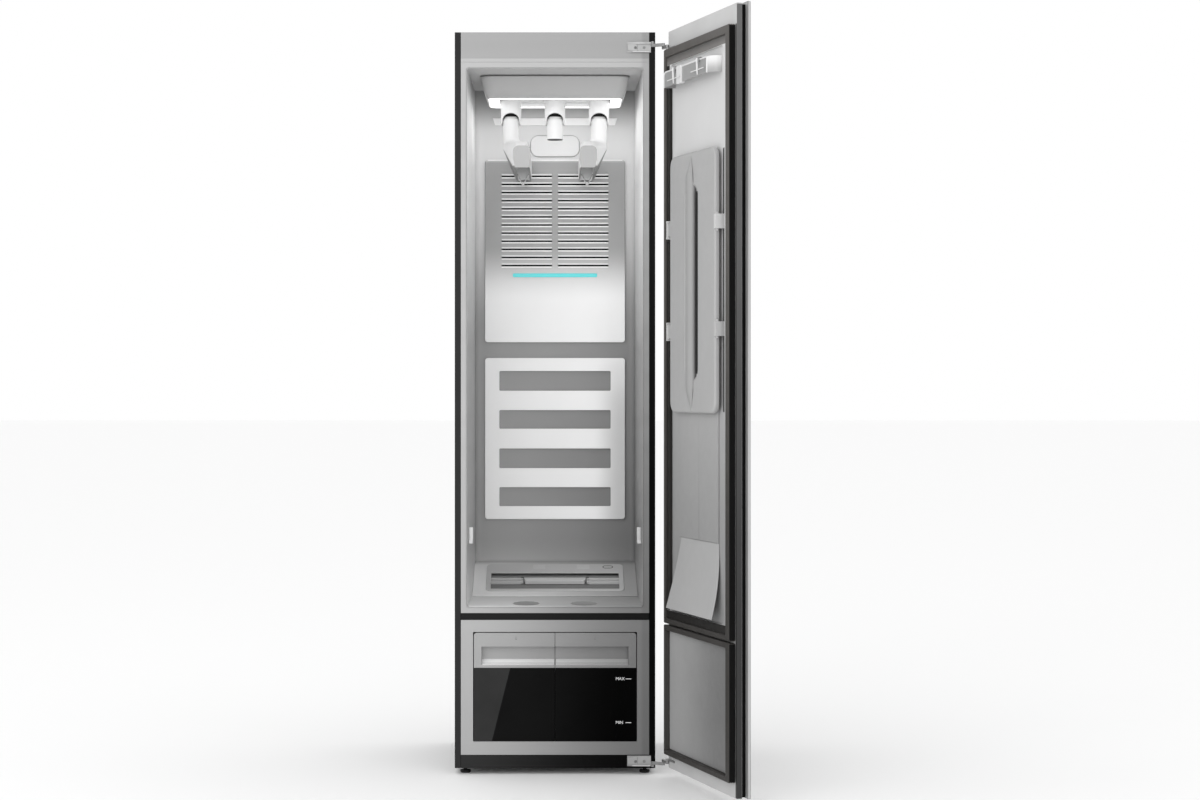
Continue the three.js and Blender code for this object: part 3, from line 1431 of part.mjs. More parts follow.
// Trouser hanger: an arched bar on two ends, with a centre block and two sliding clips
function buildTrouserHanger() {
  const front = doorFace + gap + linerPlate + gap;
  const barFront = front + bracketReach;
  const plan = new THREE.Shape();
  plan.moveTo(bracketFreeX - bracketReach, front);
  plan.lineTo(bracketFreeX - bracketReach + bracketThickness, front);
  plan.quadraticCurveTo(bracketFreeX - bracketReach / 2, barFront, bracketFreeX, barFront);
  plan.lineTo(bracketHingeX - bracketThickness, barFront);
  plan.lineTo(bracketHingeX - bracketThickness, front);
  plan.lineTo(bracketHingeX, front);
  plan.lineTo(bracketHingeX, barFront + bracketThickness);
  plan.lineTo(bracketFreeX, barFront + bracketThickness);
  plan.quadraticCurveTo(bracketFreeX - bracketReach * bracketCornerShare, barFront + bracketThickness,
    bracketFreeX - bracketReach, front + bracketThickness);
  plan.closePath();
  const bar = upward(plan, bracketLow, bracketHigh - bracketLow, 5);
  const middle = (bracketFreeX + bracketHingeX) / 2;
  const centre = block(middle - bracketBlockWidth / 2, middle + bracketBlockWidth / 2,
    barFront - bracketBlockProud, barFront + bracketThickness + bracketBlockProud,
    bracketLow - bracketBlockProud, bracketHigh + bracketBlockProud);
  const archEnd = bracketBlockWidth / 2 + bracketReach;
  const arches = [
    [bracketFreeX + bracketReach, middle - archEnd],
    [middle + archEnd, bracketHingeX - bracketReach],
  ].map(([left, right]) => backward(
    archBelow(left, right, bracketLow - overrun, bracketThickness * 2), -bracketReach, 3 * bracketReach));
  place('trouser_bracket', cut(join(bar, centre), ...arches), panelWhite(), doorGroup);

  const barBack = barFront + bracketThickness;
  for (const [name, x] of [['trouser_clip_hinge_side', clipHingeX], ['trouser_clip_free_side', clipFreeX]]) {
    const wall = clipCarrierWall;
    const carrierOuter = block(x - clipCarrierWidth / 2, x + clipCarrierWidth / 2, barFront - gap - wall,
      barBack + gap + wall, bracketHigh - bracketThickness * 2, bracketHigh + gap + wall);
    const carrierInner = block(x - clipCarrierWidth, x + clipCarrierWidth, barFront - gap, barBack + gap,
      bracketLow - overrun, bracketHigh + gap);
    const blade = block(x - clipBladeThickness / 2, x + clipBladeThickness / 2, barBack + gap,
      barBack + gap + clipBladeReach, bracketHigh + wall - clipBladeHeight, bracketHigh + gap + wall);
    const barLow = (bracketLow + bracketHigh) / 2 - clipBarThickness;
    const crossBar = block(x - clipBarLength / 2, x + clipBarLength / 2,
      barBack + gap + clipBladeReach - clipBarThickness, barBack + gap + clipBladeReach, barLow,
      barLow + clipBarThickness);
    place(name, join(cut(carrierOuter, carrierInner), blade, crossBar), panelWhite(), doorGroup);
  }
}

// A shallow arch that opens downwards between two x places
function archBelow(left, right, low, rise) {
  const shape = new THREE.Shape();
  shape.moveTo(left, low);
  shape.lineTo(right, low);
  shape.quadraticCurveTo((left + right) / 2, low + 2 * rise, left, low);
  shape.closePath();
  return shape;
}

// Multi-link hinge: a plate with an ear on the cabinet, two links, and a bracket with an ear on the door.
// The top hinge carries the cabinet's ear above its links, and the bottom one is its mirror image.
function linkShape(length, halfBreadth) {
  const shape = new THREE.Shape();
  shape.absarc(0, 0, halfBreadth, quarterTurn, halfTurn + quarterTurn, false);
  shape.absarc(length, 0, halfBreadth, -quarterTurn, quarterTurn, false);
  shape.closePath();
  return shape;
}

function standUp(geometry, upper, z) {
  return upper ? geometry.translate(0, 0, z) : outward(mirrored(geometry)).translate(0, 0, z);
}

function mirrored(geometry) {
  const merged = geometry.index ? geometry : mergeVertices(geometry);
  return merged.scale(1, 1, -1);
}

function buildHinge(suffix, z, upper) {
  const platePivot = hingePivotX - hingePlateLow;
  const plate = block(hingePlateLow, hingePivotX - linkHalfWidth, -hingePlateThickness, -gap, -hingePlateHalf,
    hingePlateHalf);
  const ear = new THREE.Shape();
  ear.moveTo(hingePlateLow, -hingePlateThickness);
  ear.lineTo(hingePivotX - hingeEarRadius, -gap);
  ear.lineTo(hingePivotX + hingeEarRadius, -gap);
  ear.lineTo(hingePivotX + hingeEarRadius, -hingePivotOut);
  ear.absarc(hingePivotX, -hingePivotOut, hingeEarRadius, 0, -halfTurn, true);
  ear.lineTo(hingePlateLow + platePivot / 3, -hingePivotOut);
  ear.closePath();
  const earPlate = upward(ear, hingeEarLow, hingePlateHalf - hingeEarLow, 6);
  const cabinetPart = join(plate, earPlate);
  const screwHoles = [1, 2].map((step) => rod(0, 0, linkRivetRadius, -overrun,
    hingePlateThickness + overrun, 12)
    .rotateX(quarterTurn)
    .translate(hingePlateLow + platePivot * step / 4, 0, 0));
  place(`hinge_plate_${suffix}`, standUp(cut(cabinetPart, ...screwHoles), upper, z), brightSteel());

  const innerLink = upward(linkShape(linkLength, linkHalfWidth), linkLow, linkHigh - linkLow, 6);
  innerLink.rotateZ(THREE.MathUtils.degToRad(innerLinkDegrees));
  innerLink.translate(hingePivotX, -hingePivotOut, 0);
  place(`hinge_link_inner_${suffix}`, standUp(innerLink, upper, z), brightSteel());

  const outerLink = upward(linkShape(linkLength, linkHalfWidth), -linkHigh, linkHigh - linkLow, 6);
  const openTurn = THREE.MathUtils.degToRad(openDegrees);
  const doorPivot = new THREE.Vector2(doorPivotX - poleX, poleOut - doorPivotOut)
    .rotateAround(new THREE.Vector2(0, 0), openTurn);
  outerLink.rotateZ(THREE.MathUtils.degToRad(outerLinkDegrees));
  outerLink.translate(poleX + doorPivot.x, doorPivot.y - poleOut, 0);
  place(`hinge_link_outer_${suffix}`, standUp(outerLink, upper, z), brightSteel());

  const bracketLeft = doorPivotX - doorEarReach;
  const base = block(bracketLeft - doorEarReach / 2, doorPivotX, doorFace + gap,
    doorFace + gap + doorEarPlate, -hingePlateHalf, -hingeEarLow);
  const doorEar = new THREE.Shape();
  doorEar.moveTo(bracketLeft, doorFace + gap);
  doorEar.lineTo(doorPivotX + hingeEarRadius, doorFace + gap);
  doorEar.lineTo(doorPivotX + hingeEarRadius, -doorPivotOut);
  doorEar.absarc(doorPivotX, -doorPivotOut, hingeEarRadius, 0, halfTurn, false);
  doorEar.lineTo(bracketLeft + doorEarReach / 3, doorFace + gap + doorEarPlate);
  doorEar.closePath();
  const doorEarSolid = upward(doorEar, -hingePlateHalf, hingePlateHalf - hingeEarLow, 6);
  place(`door_bracket_${suffix}`, standUp(join(base, doorEarSolid), upper, z), brightSteel(), doorGroup);
}

buildCasing();
buildBase();
buildFrontFrame();
buildLiner();
buildUpperPanel();
buildLowerPanel();
buildAirHead();
buildHangers();
buildSupports();
buildConsole();
buildFilterCover();
buildTankBay();
buildTank('supply_tank', -1);
buildTank('drain_tank', 1);
buildMachines();
buildBlower();
buildDoorLeaf();
buildDoorLining();
buildPress();
buildBoard();
buildTrouserHanger();
buildHinge('top', hingeTopZ, true);
buildHinge('bottom', hingeBottomZ, false);

// The origin is at the middle of the footprint, on the floor
model.updateMatrixWorld(true);
const footprint = new THREE.Box3().setFromObject(model, true);
const group = new THREE.Group();
group.add(model);
const middle = footprint.getCenter(new THREE.Vector3());
model.position.set(-middle.x, -middle.y, -footprint.min.z);
group.updateMatrixWorld(true);

export default group;
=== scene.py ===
"""Looks of a clothes care steam cabinet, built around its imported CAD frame.

The cabinet stands with its door open past a right angle. Sizes are in millimetres on drawing boards:
the cabinet's board has x to the right from the casing's middle, y to the rear from the casing's front edge
and z up from the ground, and the door's board has the same axes with the door closed.
"""

from __future__ import annotations

import logging
import math
from dataclasses import dataclass, field
from enum import Enum
from typing import Iterable, Sequence

import bmesh
import bpy
from mathutils import Matrix, Vector

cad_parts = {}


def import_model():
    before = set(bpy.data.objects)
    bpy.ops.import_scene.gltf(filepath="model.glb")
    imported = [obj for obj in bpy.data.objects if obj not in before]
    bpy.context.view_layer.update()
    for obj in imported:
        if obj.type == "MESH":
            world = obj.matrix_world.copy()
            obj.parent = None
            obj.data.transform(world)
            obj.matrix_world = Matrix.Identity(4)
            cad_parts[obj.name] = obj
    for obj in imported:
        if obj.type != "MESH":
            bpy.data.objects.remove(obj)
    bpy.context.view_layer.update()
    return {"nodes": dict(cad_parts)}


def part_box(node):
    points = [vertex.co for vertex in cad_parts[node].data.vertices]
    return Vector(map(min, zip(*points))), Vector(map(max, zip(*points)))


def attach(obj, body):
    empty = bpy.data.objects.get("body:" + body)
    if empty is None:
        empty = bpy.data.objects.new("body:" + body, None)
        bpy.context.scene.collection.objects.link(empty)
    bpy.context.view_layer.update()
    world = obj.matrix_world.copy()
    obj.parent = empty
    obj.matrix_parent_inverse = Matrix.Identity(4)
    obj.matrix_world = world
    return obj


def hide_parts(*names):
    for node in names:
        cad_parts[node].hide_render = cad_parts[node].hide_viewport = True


LOG = logging.getLogger("steam_cabinet")

MM = 0.001
FULL_TURN = 2 * math.pi
QUARTER_TURN = math.pi / 2
KNUCKLE_LOWS = (1084.0, 1333.0)

Colour = tuple[float, float, float]
Point2 = tuple[float, float]
Point3 = tuple[float, float, float]


class Body(Enum):
    """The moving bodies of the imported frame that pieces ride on."""

    CABINET = "cabinet"
    DOOR = "door"
    PRESS = "press"
    CLIP_A = "trouser_clip_a"
    CLIP_B = "trouser_clip_b"
    SUPPLY = "supply_tank_unit"
    DRAIN = "drain_tank_unit"
    FILTER = "filter"
    HANGER_LEFT = "hanger_left"
    HANGER_RIGHT = "hanger_right"
    NOZZLE = "nozzle_center"
    INNER_LINKS = "inner_links"
    OUTER_LINKS = "outer_links"
    FOOT_FL = "foot_fl"
    FOOT_FR = "foot_fr"
    FOOT_RL = "foot_rl"
    FOOT_RR = "foot_rr"


class Axis(Enum):
    """Axes that a colour's slope runs along."""

    X = 0
    Y = 1
    Z = 2


def grey(level: float, warmth: float = 0.0) -> Colour:
    """A grey of a display level.

    Args:
        level: The display level, 0 to 255.
        warmth: How much red gains and blue loses, as a share.

    Returns:
        The linear colour.
    """
    display = level / 255
    linear = display / 12.92 if display <= 0.04045 else ((display + 0.055) / 1.055) ** 2.4
    return linear * (1 + warmth), linear, linear * (1 - warmth)


# Finishes


@dataclass(frozen=True)
class Slope:
    """Painted light and shade: a slope of brightness along one axis of the row frame, in metres."""

    axis: Axis
    start: float
    end: float
    start_share: float
    end_share: float


@dataclass(frozen=True)
class CornerShade:
    """Painted shade: a darkening towards the cabinet's lower right, in the row frame, in metres."""

    strength: float
    left: float = -0.333
    right: float = 0.137
    high: float = 1.8
    low: float = 0.35


@dataclass(frozen=True)
class PaintedReflection:
    """A painted reflection: brighter to the left of a leaning line, as on a gloss sheet, in the row frame."""

    middle: float
    height: float
    lean: float
    share: float
    edge: float = 0.0006


@dataclass(frozen=True)
class Finish:
    """A painted, moulded or metal surface with a fine grain, slight changes of tone and gloss, and painted
    light and shade.
    """

    name: str
    tone: Colour
    roughness: float = 0.45
    metallic: float = 0.0
    coat: float = 0.0
    coat_roughness: float = 0.1
    specular: float = 0.5
    mottle: float = 0.04
    mottle_scale: float = 9.0
    grain: float = 0.05
    grain_scale: float = 900.0
    brushed: Axis | None = None
    slopes: tuple[Slope, ...] = ()
    corner: CornerShade | None = None
    painted_reflection: PaintedReflection | None = None
    # The brightness share of faces that look down: painted shade.
    under: float = 1.0
    glow: float = 0.0

    def material(self) -> bpy.types.Material:
        """The finish as a node material, made once.

        Returns:
            The material.
        """
        title = f"{self.name}_finish"
        known = bpy.data.materials.get(title)
        if known:
            return known
        made = bpy.data.materials.new(title)
        made.use_nodes = True
        made.diffuse_color = (*self.tone, 1)
        NodeBench(made.node_tree).dress(self)
        return made


class NodeBench:
    """Builds a finish's shader nodes."""

    noise_span: Point2 = (0.3, 0.7)
    under_span: Point2 = (-0.45, -0.1)
    brush_stretch: float = 0.02
    gloss_share: float = 0.1

    def __init__(self, tree: bpy.types.NodeTree) -> None:
        """Args: tree: The material's node tree."""
        self.tree = tree
        self.shader = tree.nodes["Principled BSDF"]
        self.place = self.add("ShaderNodeTexCoord").outputs["Object"]

    def add(self, kind: str, **settings: object) -> bpy.types.Node:
        """Adds a node with the given settings.

        Args:
            kind: The node's type.
            settings: What is set on it.

        Returns:
            The node.
        """
        node = self.tree.nodes.new(kind)
        for key, value in settings.items():
            setattr(node, key, value)
        return node

    def link(self, source: bpy.types.NodeSocket, target: bpy.types.NodeSocket) -> None:
        """Links two sockets."""
        self.tree.links.new(source, target)

    def stretched(self, along: Axis | None) -> bpy.types.NodeSocket:
        """The surface's coordinates, drawn out along the brushing.

        Args:
            along: The axis of the brushing, or None.

        Returns:
            The coordinates' socket.
        """
        if along is None:
            return self.place
        mapping = self.add("ShaderNodeMapping")
        scale = [1.0, 1.0, 1.0]
        scale[along.value] = self.brush_stretch
        mapping.inputs["Scale"].default_value = scale
        self.link(self.place, mapping.inputs["Vector"])
        return mapping.outputs["Vector"]

    def noise(self, scale: float, detail: float, where: bpy.types.NodeSocket) -> bpy.types.NodeSocket:
        """Adds a noise over the given coordinates.

        Args:
            scale: The noise's scale.
            detail: Its octaves.
            where: The coordinates.

        Returns:
            The factor's socket.
        """
        noise = self.add("ShaderNodeTexNoise")
        noise.inputs["Scale"].default_value = scale
        noise.inputs["Detail"].default_value = detail
        self.link(where, noise.inputs["Vector"])
        return noise.outputs["Fac"]

    def ranged(self, source: bpy.types.NodeSocket, low: float, high: float, start: float = 0.0,
               end: float = 1.0) -> bpy.types.NodeSocket:
        """Maps a factor from start..end to low..high, smoothly and clamped.

        Args:
            source: The factor.
            low: The result at the start.
            high: The result at the end.
            start: The factor's start.
            end: The factor's end.

        Returns:
            The result's socket.
        """
        mapped = self.add("ShaderNodeMapRange", interpolation_type="SMOOTHSTEP")
        mapped.inputs["From Min"].default_value = start
        mapped.inputs["From Max"].default_value = end
        mapped.inputs["To Min"].default_value = low
        mapped.inputs["To Max"].default_value = high
        self.link(source, mapped.inputs["Value"])
        return mapped.outputs["Result"]

    def times(self, first: bpy.types.NodeSocket, second: bpy.types.NodeSocket) -> bpy.types.NodeSocket:
        """The product of two factors.

        Args:
            first: The first factor.
            second: The second one.

        Returns:
            The product's socket.
        """
        product = self.add("ShaderNodeMath", operation="MULTIPLY")
        self.link(first, product.inputs[0])
        self.link(second, product.inputs[1])
        return product.outputs["Value"]

    def apart(self, source: bpy.types.NodeSocket) -> Sequence[bpy.types.NodeSocket]:
        """The three parts of a vector.

        Args:
            source: The vector's socket.

        Returns:
            The sockets of x, y and z.
        """
        axes = self.add("ShaderNodeSeparateXYZ")
        self.link(source, axes.inputs["Vector"])
        return axes.outputs

    def sloped(self, slope: Slope) -> bpy.types.NodeSocket:
        """The brightness share that a slope gives at each place."""
        along = self.apart(self.place)[slope.axis.value]
        return self.ranged(along, slope.start_share, slope.end_share, slope.start, slope.end)

    def cornered(self, corner: CornerShade) -> bpy.types.NodeSocket:
        """The brightness share that a corner's shade leaves at each place.

        Args:
            corner: The shade.

        Returns:
            The share's socket.
        """
        x, _, z = self.apart(self.place)
        across = self.ranged(x, 0.0, 1.0, corner.left, corner.right)
        down = self.ranged(z, 1.0, 0.0, corner.low, corner.high)
        left = self.add("ShaderNodeMath", operation="MULTIPLY_ADD")
        self.link(self.times(across, down), left.inputs[0])
        left.inputs[1].default_value = -corner.strength
        left.inputs[2].default_value = 1.0
        return left.outputs["Value"]

    def painted_reflection_share(self, painted_reflection: PaintedReflection) -> bpy.types.NodeSocket:
        """The brightness share of a painted reflection: full to the left of its line, and one to the right.

        Args:
            painted_reflection: The painted reflection.

        Returns:
            The share's socket.
        """
        x, _, z = self.apart(self.place)
        line = self.add("ShaderNodeMath", operation="MULTIPLY_ADD")
        self.link(z, line.inputs[0])
        line.inputs[1].default_value = -painted_reflection.lean
        self.link(x, line.inputs[2])
        place = painted_reflection.middle - painted_reflection.lean * painted_reflection.height
        return self.ranged(line.outputs["Value"], painted_reflection.share, 1.0, place - painted_reflection.edge, place + painted_reflection.edge)

    def undershaded(self, share: float) -> bpy.types.NodeSocket:
        """The brightness share of places that look down: painted shade."""
        normal = self.add("ShaderNodeNewGeometry").outputs["Normal"]
        return self.ranged(self.apart(normal)[2], share, 1.0, *self.under_span)

    def dress(self, finish: Finish) -> None:
        """Sets every socket of the shader for a finish.

        Args:
            finish: The finish to build.
        """
        where = self.stretched(finish.brushed)
        share = self.ranged(self.noise(finish.mottle_scale, 4.0, where), 1 - finish.mottle, 1 + finish.mottle,
                            *self.noise_span)
        # The slopes, the corner's shade, the painted reflection and the share of faces that look down paint
        # light and shade into the base colour.
        for slope in finish.slopes:
            share = self.times(share, self.sloped(slope))
        if finish.corner:
            share = self.times(share, self.cornered(finish.corner))
        if finish.painted_reflection:
            share = self.times(share, self.painted_reflection_share(finish.painted_reflection))
        if finish.under < 1:
            share = self.times(share, self.undershaded(finish.under))
        tinted = self.add("ShaderNodeMix", data_type="RGBA", blend_type="MULTIPLY")
        tinted.inputs["Factor"].default_value = 1.0
        tinted.inputs["A"].default_value = (*finish.tone, 1)
        self.link(share, tinted.inputs["B"])
        self.link(tinted.outputs["Result"], self.shader.inputs["Base Color"])
        gloss = self.noise(finish.mottle_scale * 4, 3.0, where)
        low, high = finish.roughness * (1 - self.gloss_share), finish.roughness * (1 + self.gloss_share)
        roughness = self.ranged(gloss, low, min(1.0, high), *self.noise_span)
        self.link(roughness, self.shader.inputs["Roughness"])
        self.shader.inputs["Metallic"].default_value = finish.metallic
        self.shader.inputs["Specular IOR Level"].default_value = finish.specular
        self.shader.inputs["Coat Weight"].default_value = finish.coat
        self.shader.inputs["Coat Roughness"].default_value = finish.coat_roughness
        if finish.glow:
            self.link(tinted.outputs["Result"], self.shader.inputs["Emission Color"])
            self.shader.inputs["Emission Strength"].default_value = finish.glow
        bump = self.add("ShaderNodeBump")
        bump.inputs["Strength"].default_value = finish.grain
        bump.inputs["Distance"].default_value = MM
        self.link(self.noise(finish.grain_scale, 2.0, where), bump.inputs["Height"])
        self.link(bump.outputs["Normal"], self.shader.inputs["Normal"])


FINISHES = {
    finish.name: finish
    for finish in (
        # Painted shade: darker towards the right and the lower right.
        Finish("dark_metal", grey(44), 0.5, specular=0.03, grain_scale=1500,
               slopes=(Slope(Axis.X, -0.35, 0.16, 1.1, 0.45),), corner=CornerShade(0.95, low=0.6)),
        # Painted shade: darker above the opening's top edge, on the right jamb and towards the lower right.
        Finish("front_satin", grey(160), 0.36, metallic=0.15, specular=0.3, mottle=0.01, grain=0.03,
               brushed=Axis.X, corner=CornerShade(0.62),
               slopes=(Slope(Axis.Z, 1.7838, 1.7852, 1.0, 0.78), Slope(Axis.X, 0.113, 0.123, 1.0, 0.82))),
        # Painted shade: darker towards the right.
        Finish("black_trim", grey(24), 0.4, specular=0.05, slopes=(Slope(Axis.X, -0.33, 0.13, 1.5, 0.5),)),
        # Painted light and shade: brighter up the walls, darker under the ceiling, brighter in front of the
        # back wall and near the floor, darker towards the lower right.
        Finish("chamber_plastic", grey(163), 0.5, specular=0.3, mottle=0.015,
               slopes=(Slope(Axis.Z, 1.1, 1.5, 1.0, 2.1), Slope(Axis.Z, 1.645, 1.77, 1.0, 0.42),
                       Slope(Axis.Y, 0.44, 0.466, 1.6, 1.0), Slope(Axis.Z, 0.44, 0.56, 1.5, 1.0)),
               corner=CornerShade(0.55)),
        # Painted shade and highlight: the upper panel darker towards its top, brighter above its top edge,
        # and darker towards the lower right.
        Finish("panel_white", grey(250), 0.42, mottle=0.01, grain_scale=700,
               slopes=(Slope(Axis.Z, 1.19, 1.35, 1.0, 0.36), Slope(Axis.Z, 1.566, 1.578, 1.0, 2.2)),
               corner=CornerShade(0.36, left=0.0, right=0.08, high=1.12, low=0.85)),
        # Painted shade on faces that look down.
        Finish("hanger_white", grey(244), 0.34, specular=0.3, mottle=0.012, under=0.22),
        Finish("light_cyan", (0.05, 0.5, 0.52), 0.3, mottle=0.03, glow=0.4),
        Finish("light_white", grey(250), 0.3, mottle=0.01, glow=1.7),
        # Painted reflection: lighter towards the left, and much brighter left of a leaning line.
        Finish("tank_black", grey(9), 0.06, specular=0.02, mottle=0.1, grain=0.01,
               slopes=(Slope(Axis.X, -0.19, 0.08, 2.2, 0.15),), painted_reflection=PaintedReflection(-0.2102, 0.265, 0.252, 5.0)),
        # Painted shade towards the lower right.
        Finish("tank_lid_grey", grey(152), 0.34, metallic=0.2, specular=0.3, mottle=0.01,
               corner=CornerShade(0.6)),
        # Painted light: lighter towards the top.
        Finish("gasket_brown", grey(66, 0.06), 0.45, specular=0.12, grain=0.1, grain_scale=500,
               slopes=(Slope(Axis.Z, 0.5, 1.4, 0.75, 1.5),)),
        Finish("door_grey", grey(187), 0.4, specular=0.3),
        Finish("door_face", grey(172), 0.34, metallic=0.1, specular=0.3),
        Finish("recess_black", grey(10), 0.4, specular=0.05),
        # Painted light and shade: darker towards the bottom, lighter towards the top.
        Finish("liner_grey", grey(182), 0.5, specular=0.3, mottle=0.012,
               slopes=(Slope(Axis.Z, 0.5, 1.65, 0.6, 1.32),)),
        Finish("press_grey", grey(168), 0.42, specular=0.3, mottle=0.012),
        Finish("hinge_steel", grey(138), 0.34, metallic=0.6, specular=0.3, mottle=0.08, mottle_scale=60),
        Finish("foot_black", grey(24), 0.6, specular=0.2, grain=0.2),
        Finish("tray_zinc", grey(150), 0.4, metallic=0.9, mottle=0.12, mottle_scale=50),
        Finish("machine_black", grey(30), 0.4, coat=0.3),
        Finish("machine_steel", grey(170), 0.3, metallic=1.0, mottle=0.06, mottle_scale=30),
        Finish("blower_grey", grey(120), 0.5),
        # Painted shade: a grey copy of the head's white plastic, with painted light brightening it behind the
        # hood's front, in the recess.
        Finish("head_white", grey(178), 0.45, specular=0.3, mottle=0.01, grain_scale=700,
               slopes=(Slope(Axis.Y, 0.165, 0.18, 1.0, 1.7),)),
        Finish("seal_rubber", grey(18), 0.45, specular=0.08),
        # Painted shade: a grey copy of the hangers' white for the caps' front faces.
        Finish("hanger_cap", grey(172), 0.4, specular=0.3, mottle=0.01),
        Finish("wire_steel", grey(205), 0.25, metallic=0.8, mottle=0.03),
        Finish("screen_grey", grey(84), 0.5, specular=0.2, mottle=0.02),
        Finish("cover_grey", grey(198), 0.45, specular=0.3, mottle=0.012),
        Finish("cover_band", grey(126), 0.45, specular=0.3, mottle=0.012),
        Finish("cover_shade", grey(110), 0.5, specular=0.3, mottle=0.012),
        Finish("cover_slot", grey(70), 0.5, specular=0.2, mottle=0.02),
        Finish("cover_pull", grey(206), 0.42, specular=0.3, mottle=0.01),
        # Painted light on the grip recess's upward sills, with painted shade towards the lower right.
        Finish("grip_light", grey(248), 0.4, specular=0.3, mottle=0.01, corner=CornerShade(0.6)),
        # Painted shade in the floor's dishes, darker at the front.
        Finish("dish_shade", grey(150), 0.5, specular=0.2, mottle=0.02,
               slopes=(Slope(Axis.Y, 0.02, 0.1, 0.6, 1.2),)),
        # Painted shadow beside the press plate.
        Finish("side_shade", grey(70), 0.5, specular=0.1, mottle=0.02),
        Finish("mark_dark", grey(90), 0.5, mottle=0.02),
        Finish("mark_white", grey(225), 0.5, mottle=0.02),
        Finish("hinge_plate_steel", grey(150), 0.36, metallic=0.35, specular=0.3, mottle=0.05,
               mottle_scale=60),
        Finish("hinge_bright", grey(186), 0.3, metallic=0.6, specular=0.3, mottle=0.03),
        Finish("screw_dark", grey(120), 0.35, metallic=0.7, mottle=0.05),
        Finish("screw_zinc", grey(190), 0.3, metallic=1.0, mottle=0.06),
        Finish("seam_grey", grey(130), 0.5, mottle=0.02),
        # Painted highlight on bevels and edges, near-white with a faint glow.
        Finish("edge_white", grey(250), 0.4, mottle=0.01, glow=0.06),
        Finish("strip_white", grey(255), 0.45, mottle=0.01),
        # Painted shade: a darker copy of the seal's brown.
        Finish("gasket_dark", grey(36, 0.06), 0.45, specular=0.1, grain=0.1, grain_scale=500),
        # Painted light: a lighter copy of the seal's brown, darker towards its top.
        Finish("gasket_head", grey(104, 0.04), 0.45, specular=0.15, grain=0.1, grain_scale=500,
               slopes=(Slope(Axis.Z, 1.757, 1.776, 1.25, 0.7),)),
        # Painted shade on the leaf's free edge, darker towards the bottom.
        Finish("edge_grey", grey(84), 0.4, specular=0.1, slopes=(Slope(Axis.Z, 0.3, 1.8, 0.4, 1.2),)),
        # Painted shade: a darker copy of the press plate's grey.
        Finish("ridge_grey", grey(152), 0.42, specular=0.3, mottle=0.012),
        # Painted shadow beside the ridge.
        Finish("groove_shade", grey(52), 0.6, specular=0.1, mottle=0.02),
        # Painted shade: darker towards the door's free edge.
        Finish("insert_grey", grey(168), 0.42, specular=0.3, mottle=0.012,
               slopes=(Slope(Axis.Y, -0.47, -0.1, 0.45, 0.92),)),
        Finish("clip_light", grey(184), 0.42, specular=0.3, mottle=0.012),
        # Painted highlight and shade: lighter and darker copies of the trouser bar's grey, the return paler
        # at its top.
        Finish("bracket_light", grey(215), 0.42, specular=0.3, mottle=0.012),
        Finish("bracket_bright", grey(222), 0.4, specular=0.3, mottle=0.01),
        Finish("bracket_grey", grey(150), 0.42, specular=0.3, mottle=0.012),
        Finish("bracket_return", grey(215), 0.42, specular=0.3, mottle=0.012,
               slopes=(Slope(Axis.Z, 1.7, 1.733, 0.55, 1.1),)),
    )
}


# Drawing boards and skins


@dataclass(frozen=True)
class Board:
    """A drawing board: millimetre axes and where they lie in the row frame."""

    matrix: Matrix

    def at(self, x: float, y: float, z: float) -> Vector:
        """A point of the board in the row frame, in metres."""
        return self.matrix @ Vector((x, y, z))

    def on(self, origin: Point3, right: Point3, up: Point3, out: Point3) -> Board:
        """A board on this one, such as a face or a slope.

        Args:
            origin: Its origin on this board.
            right: The direction of its x axis.
            up: The direction of its y axis.
            out: The direction of its z axis.

        Returns:
            The new board.
        """
        turn = Matrix((right, up, out)).transposed().to_4x4()
        return Board(self.matrix @ Matrix.Translation(origin) @ turn)

    def standing(self, x: float, y: float, z: float = 0.0) -> Board:
        """A level board with the same axes at another place."""
        return self.on((x, y, z), (1, 0, 0), (0, 1, 0), (0, 0, 1))

    def facing_front(self, depth: float = 0.0, middle: float = 0.0) -> Board:
        """An upright board that looks to the front: x to the right, y up and z out of it."""
        return self.on((middle, depth, 0), (1, 0, 0), (0, 0, 1), (0, -1, 0))

    def facing_in(self, depth: float = 0.0) -> Board:
        """The door's upright board, seen from inside: x mirrored, y up and z out of the leaf."""
        return self.on((0, depth, 0), (-1, 0, 0), (0, 0, 1), (0, 1, 0))


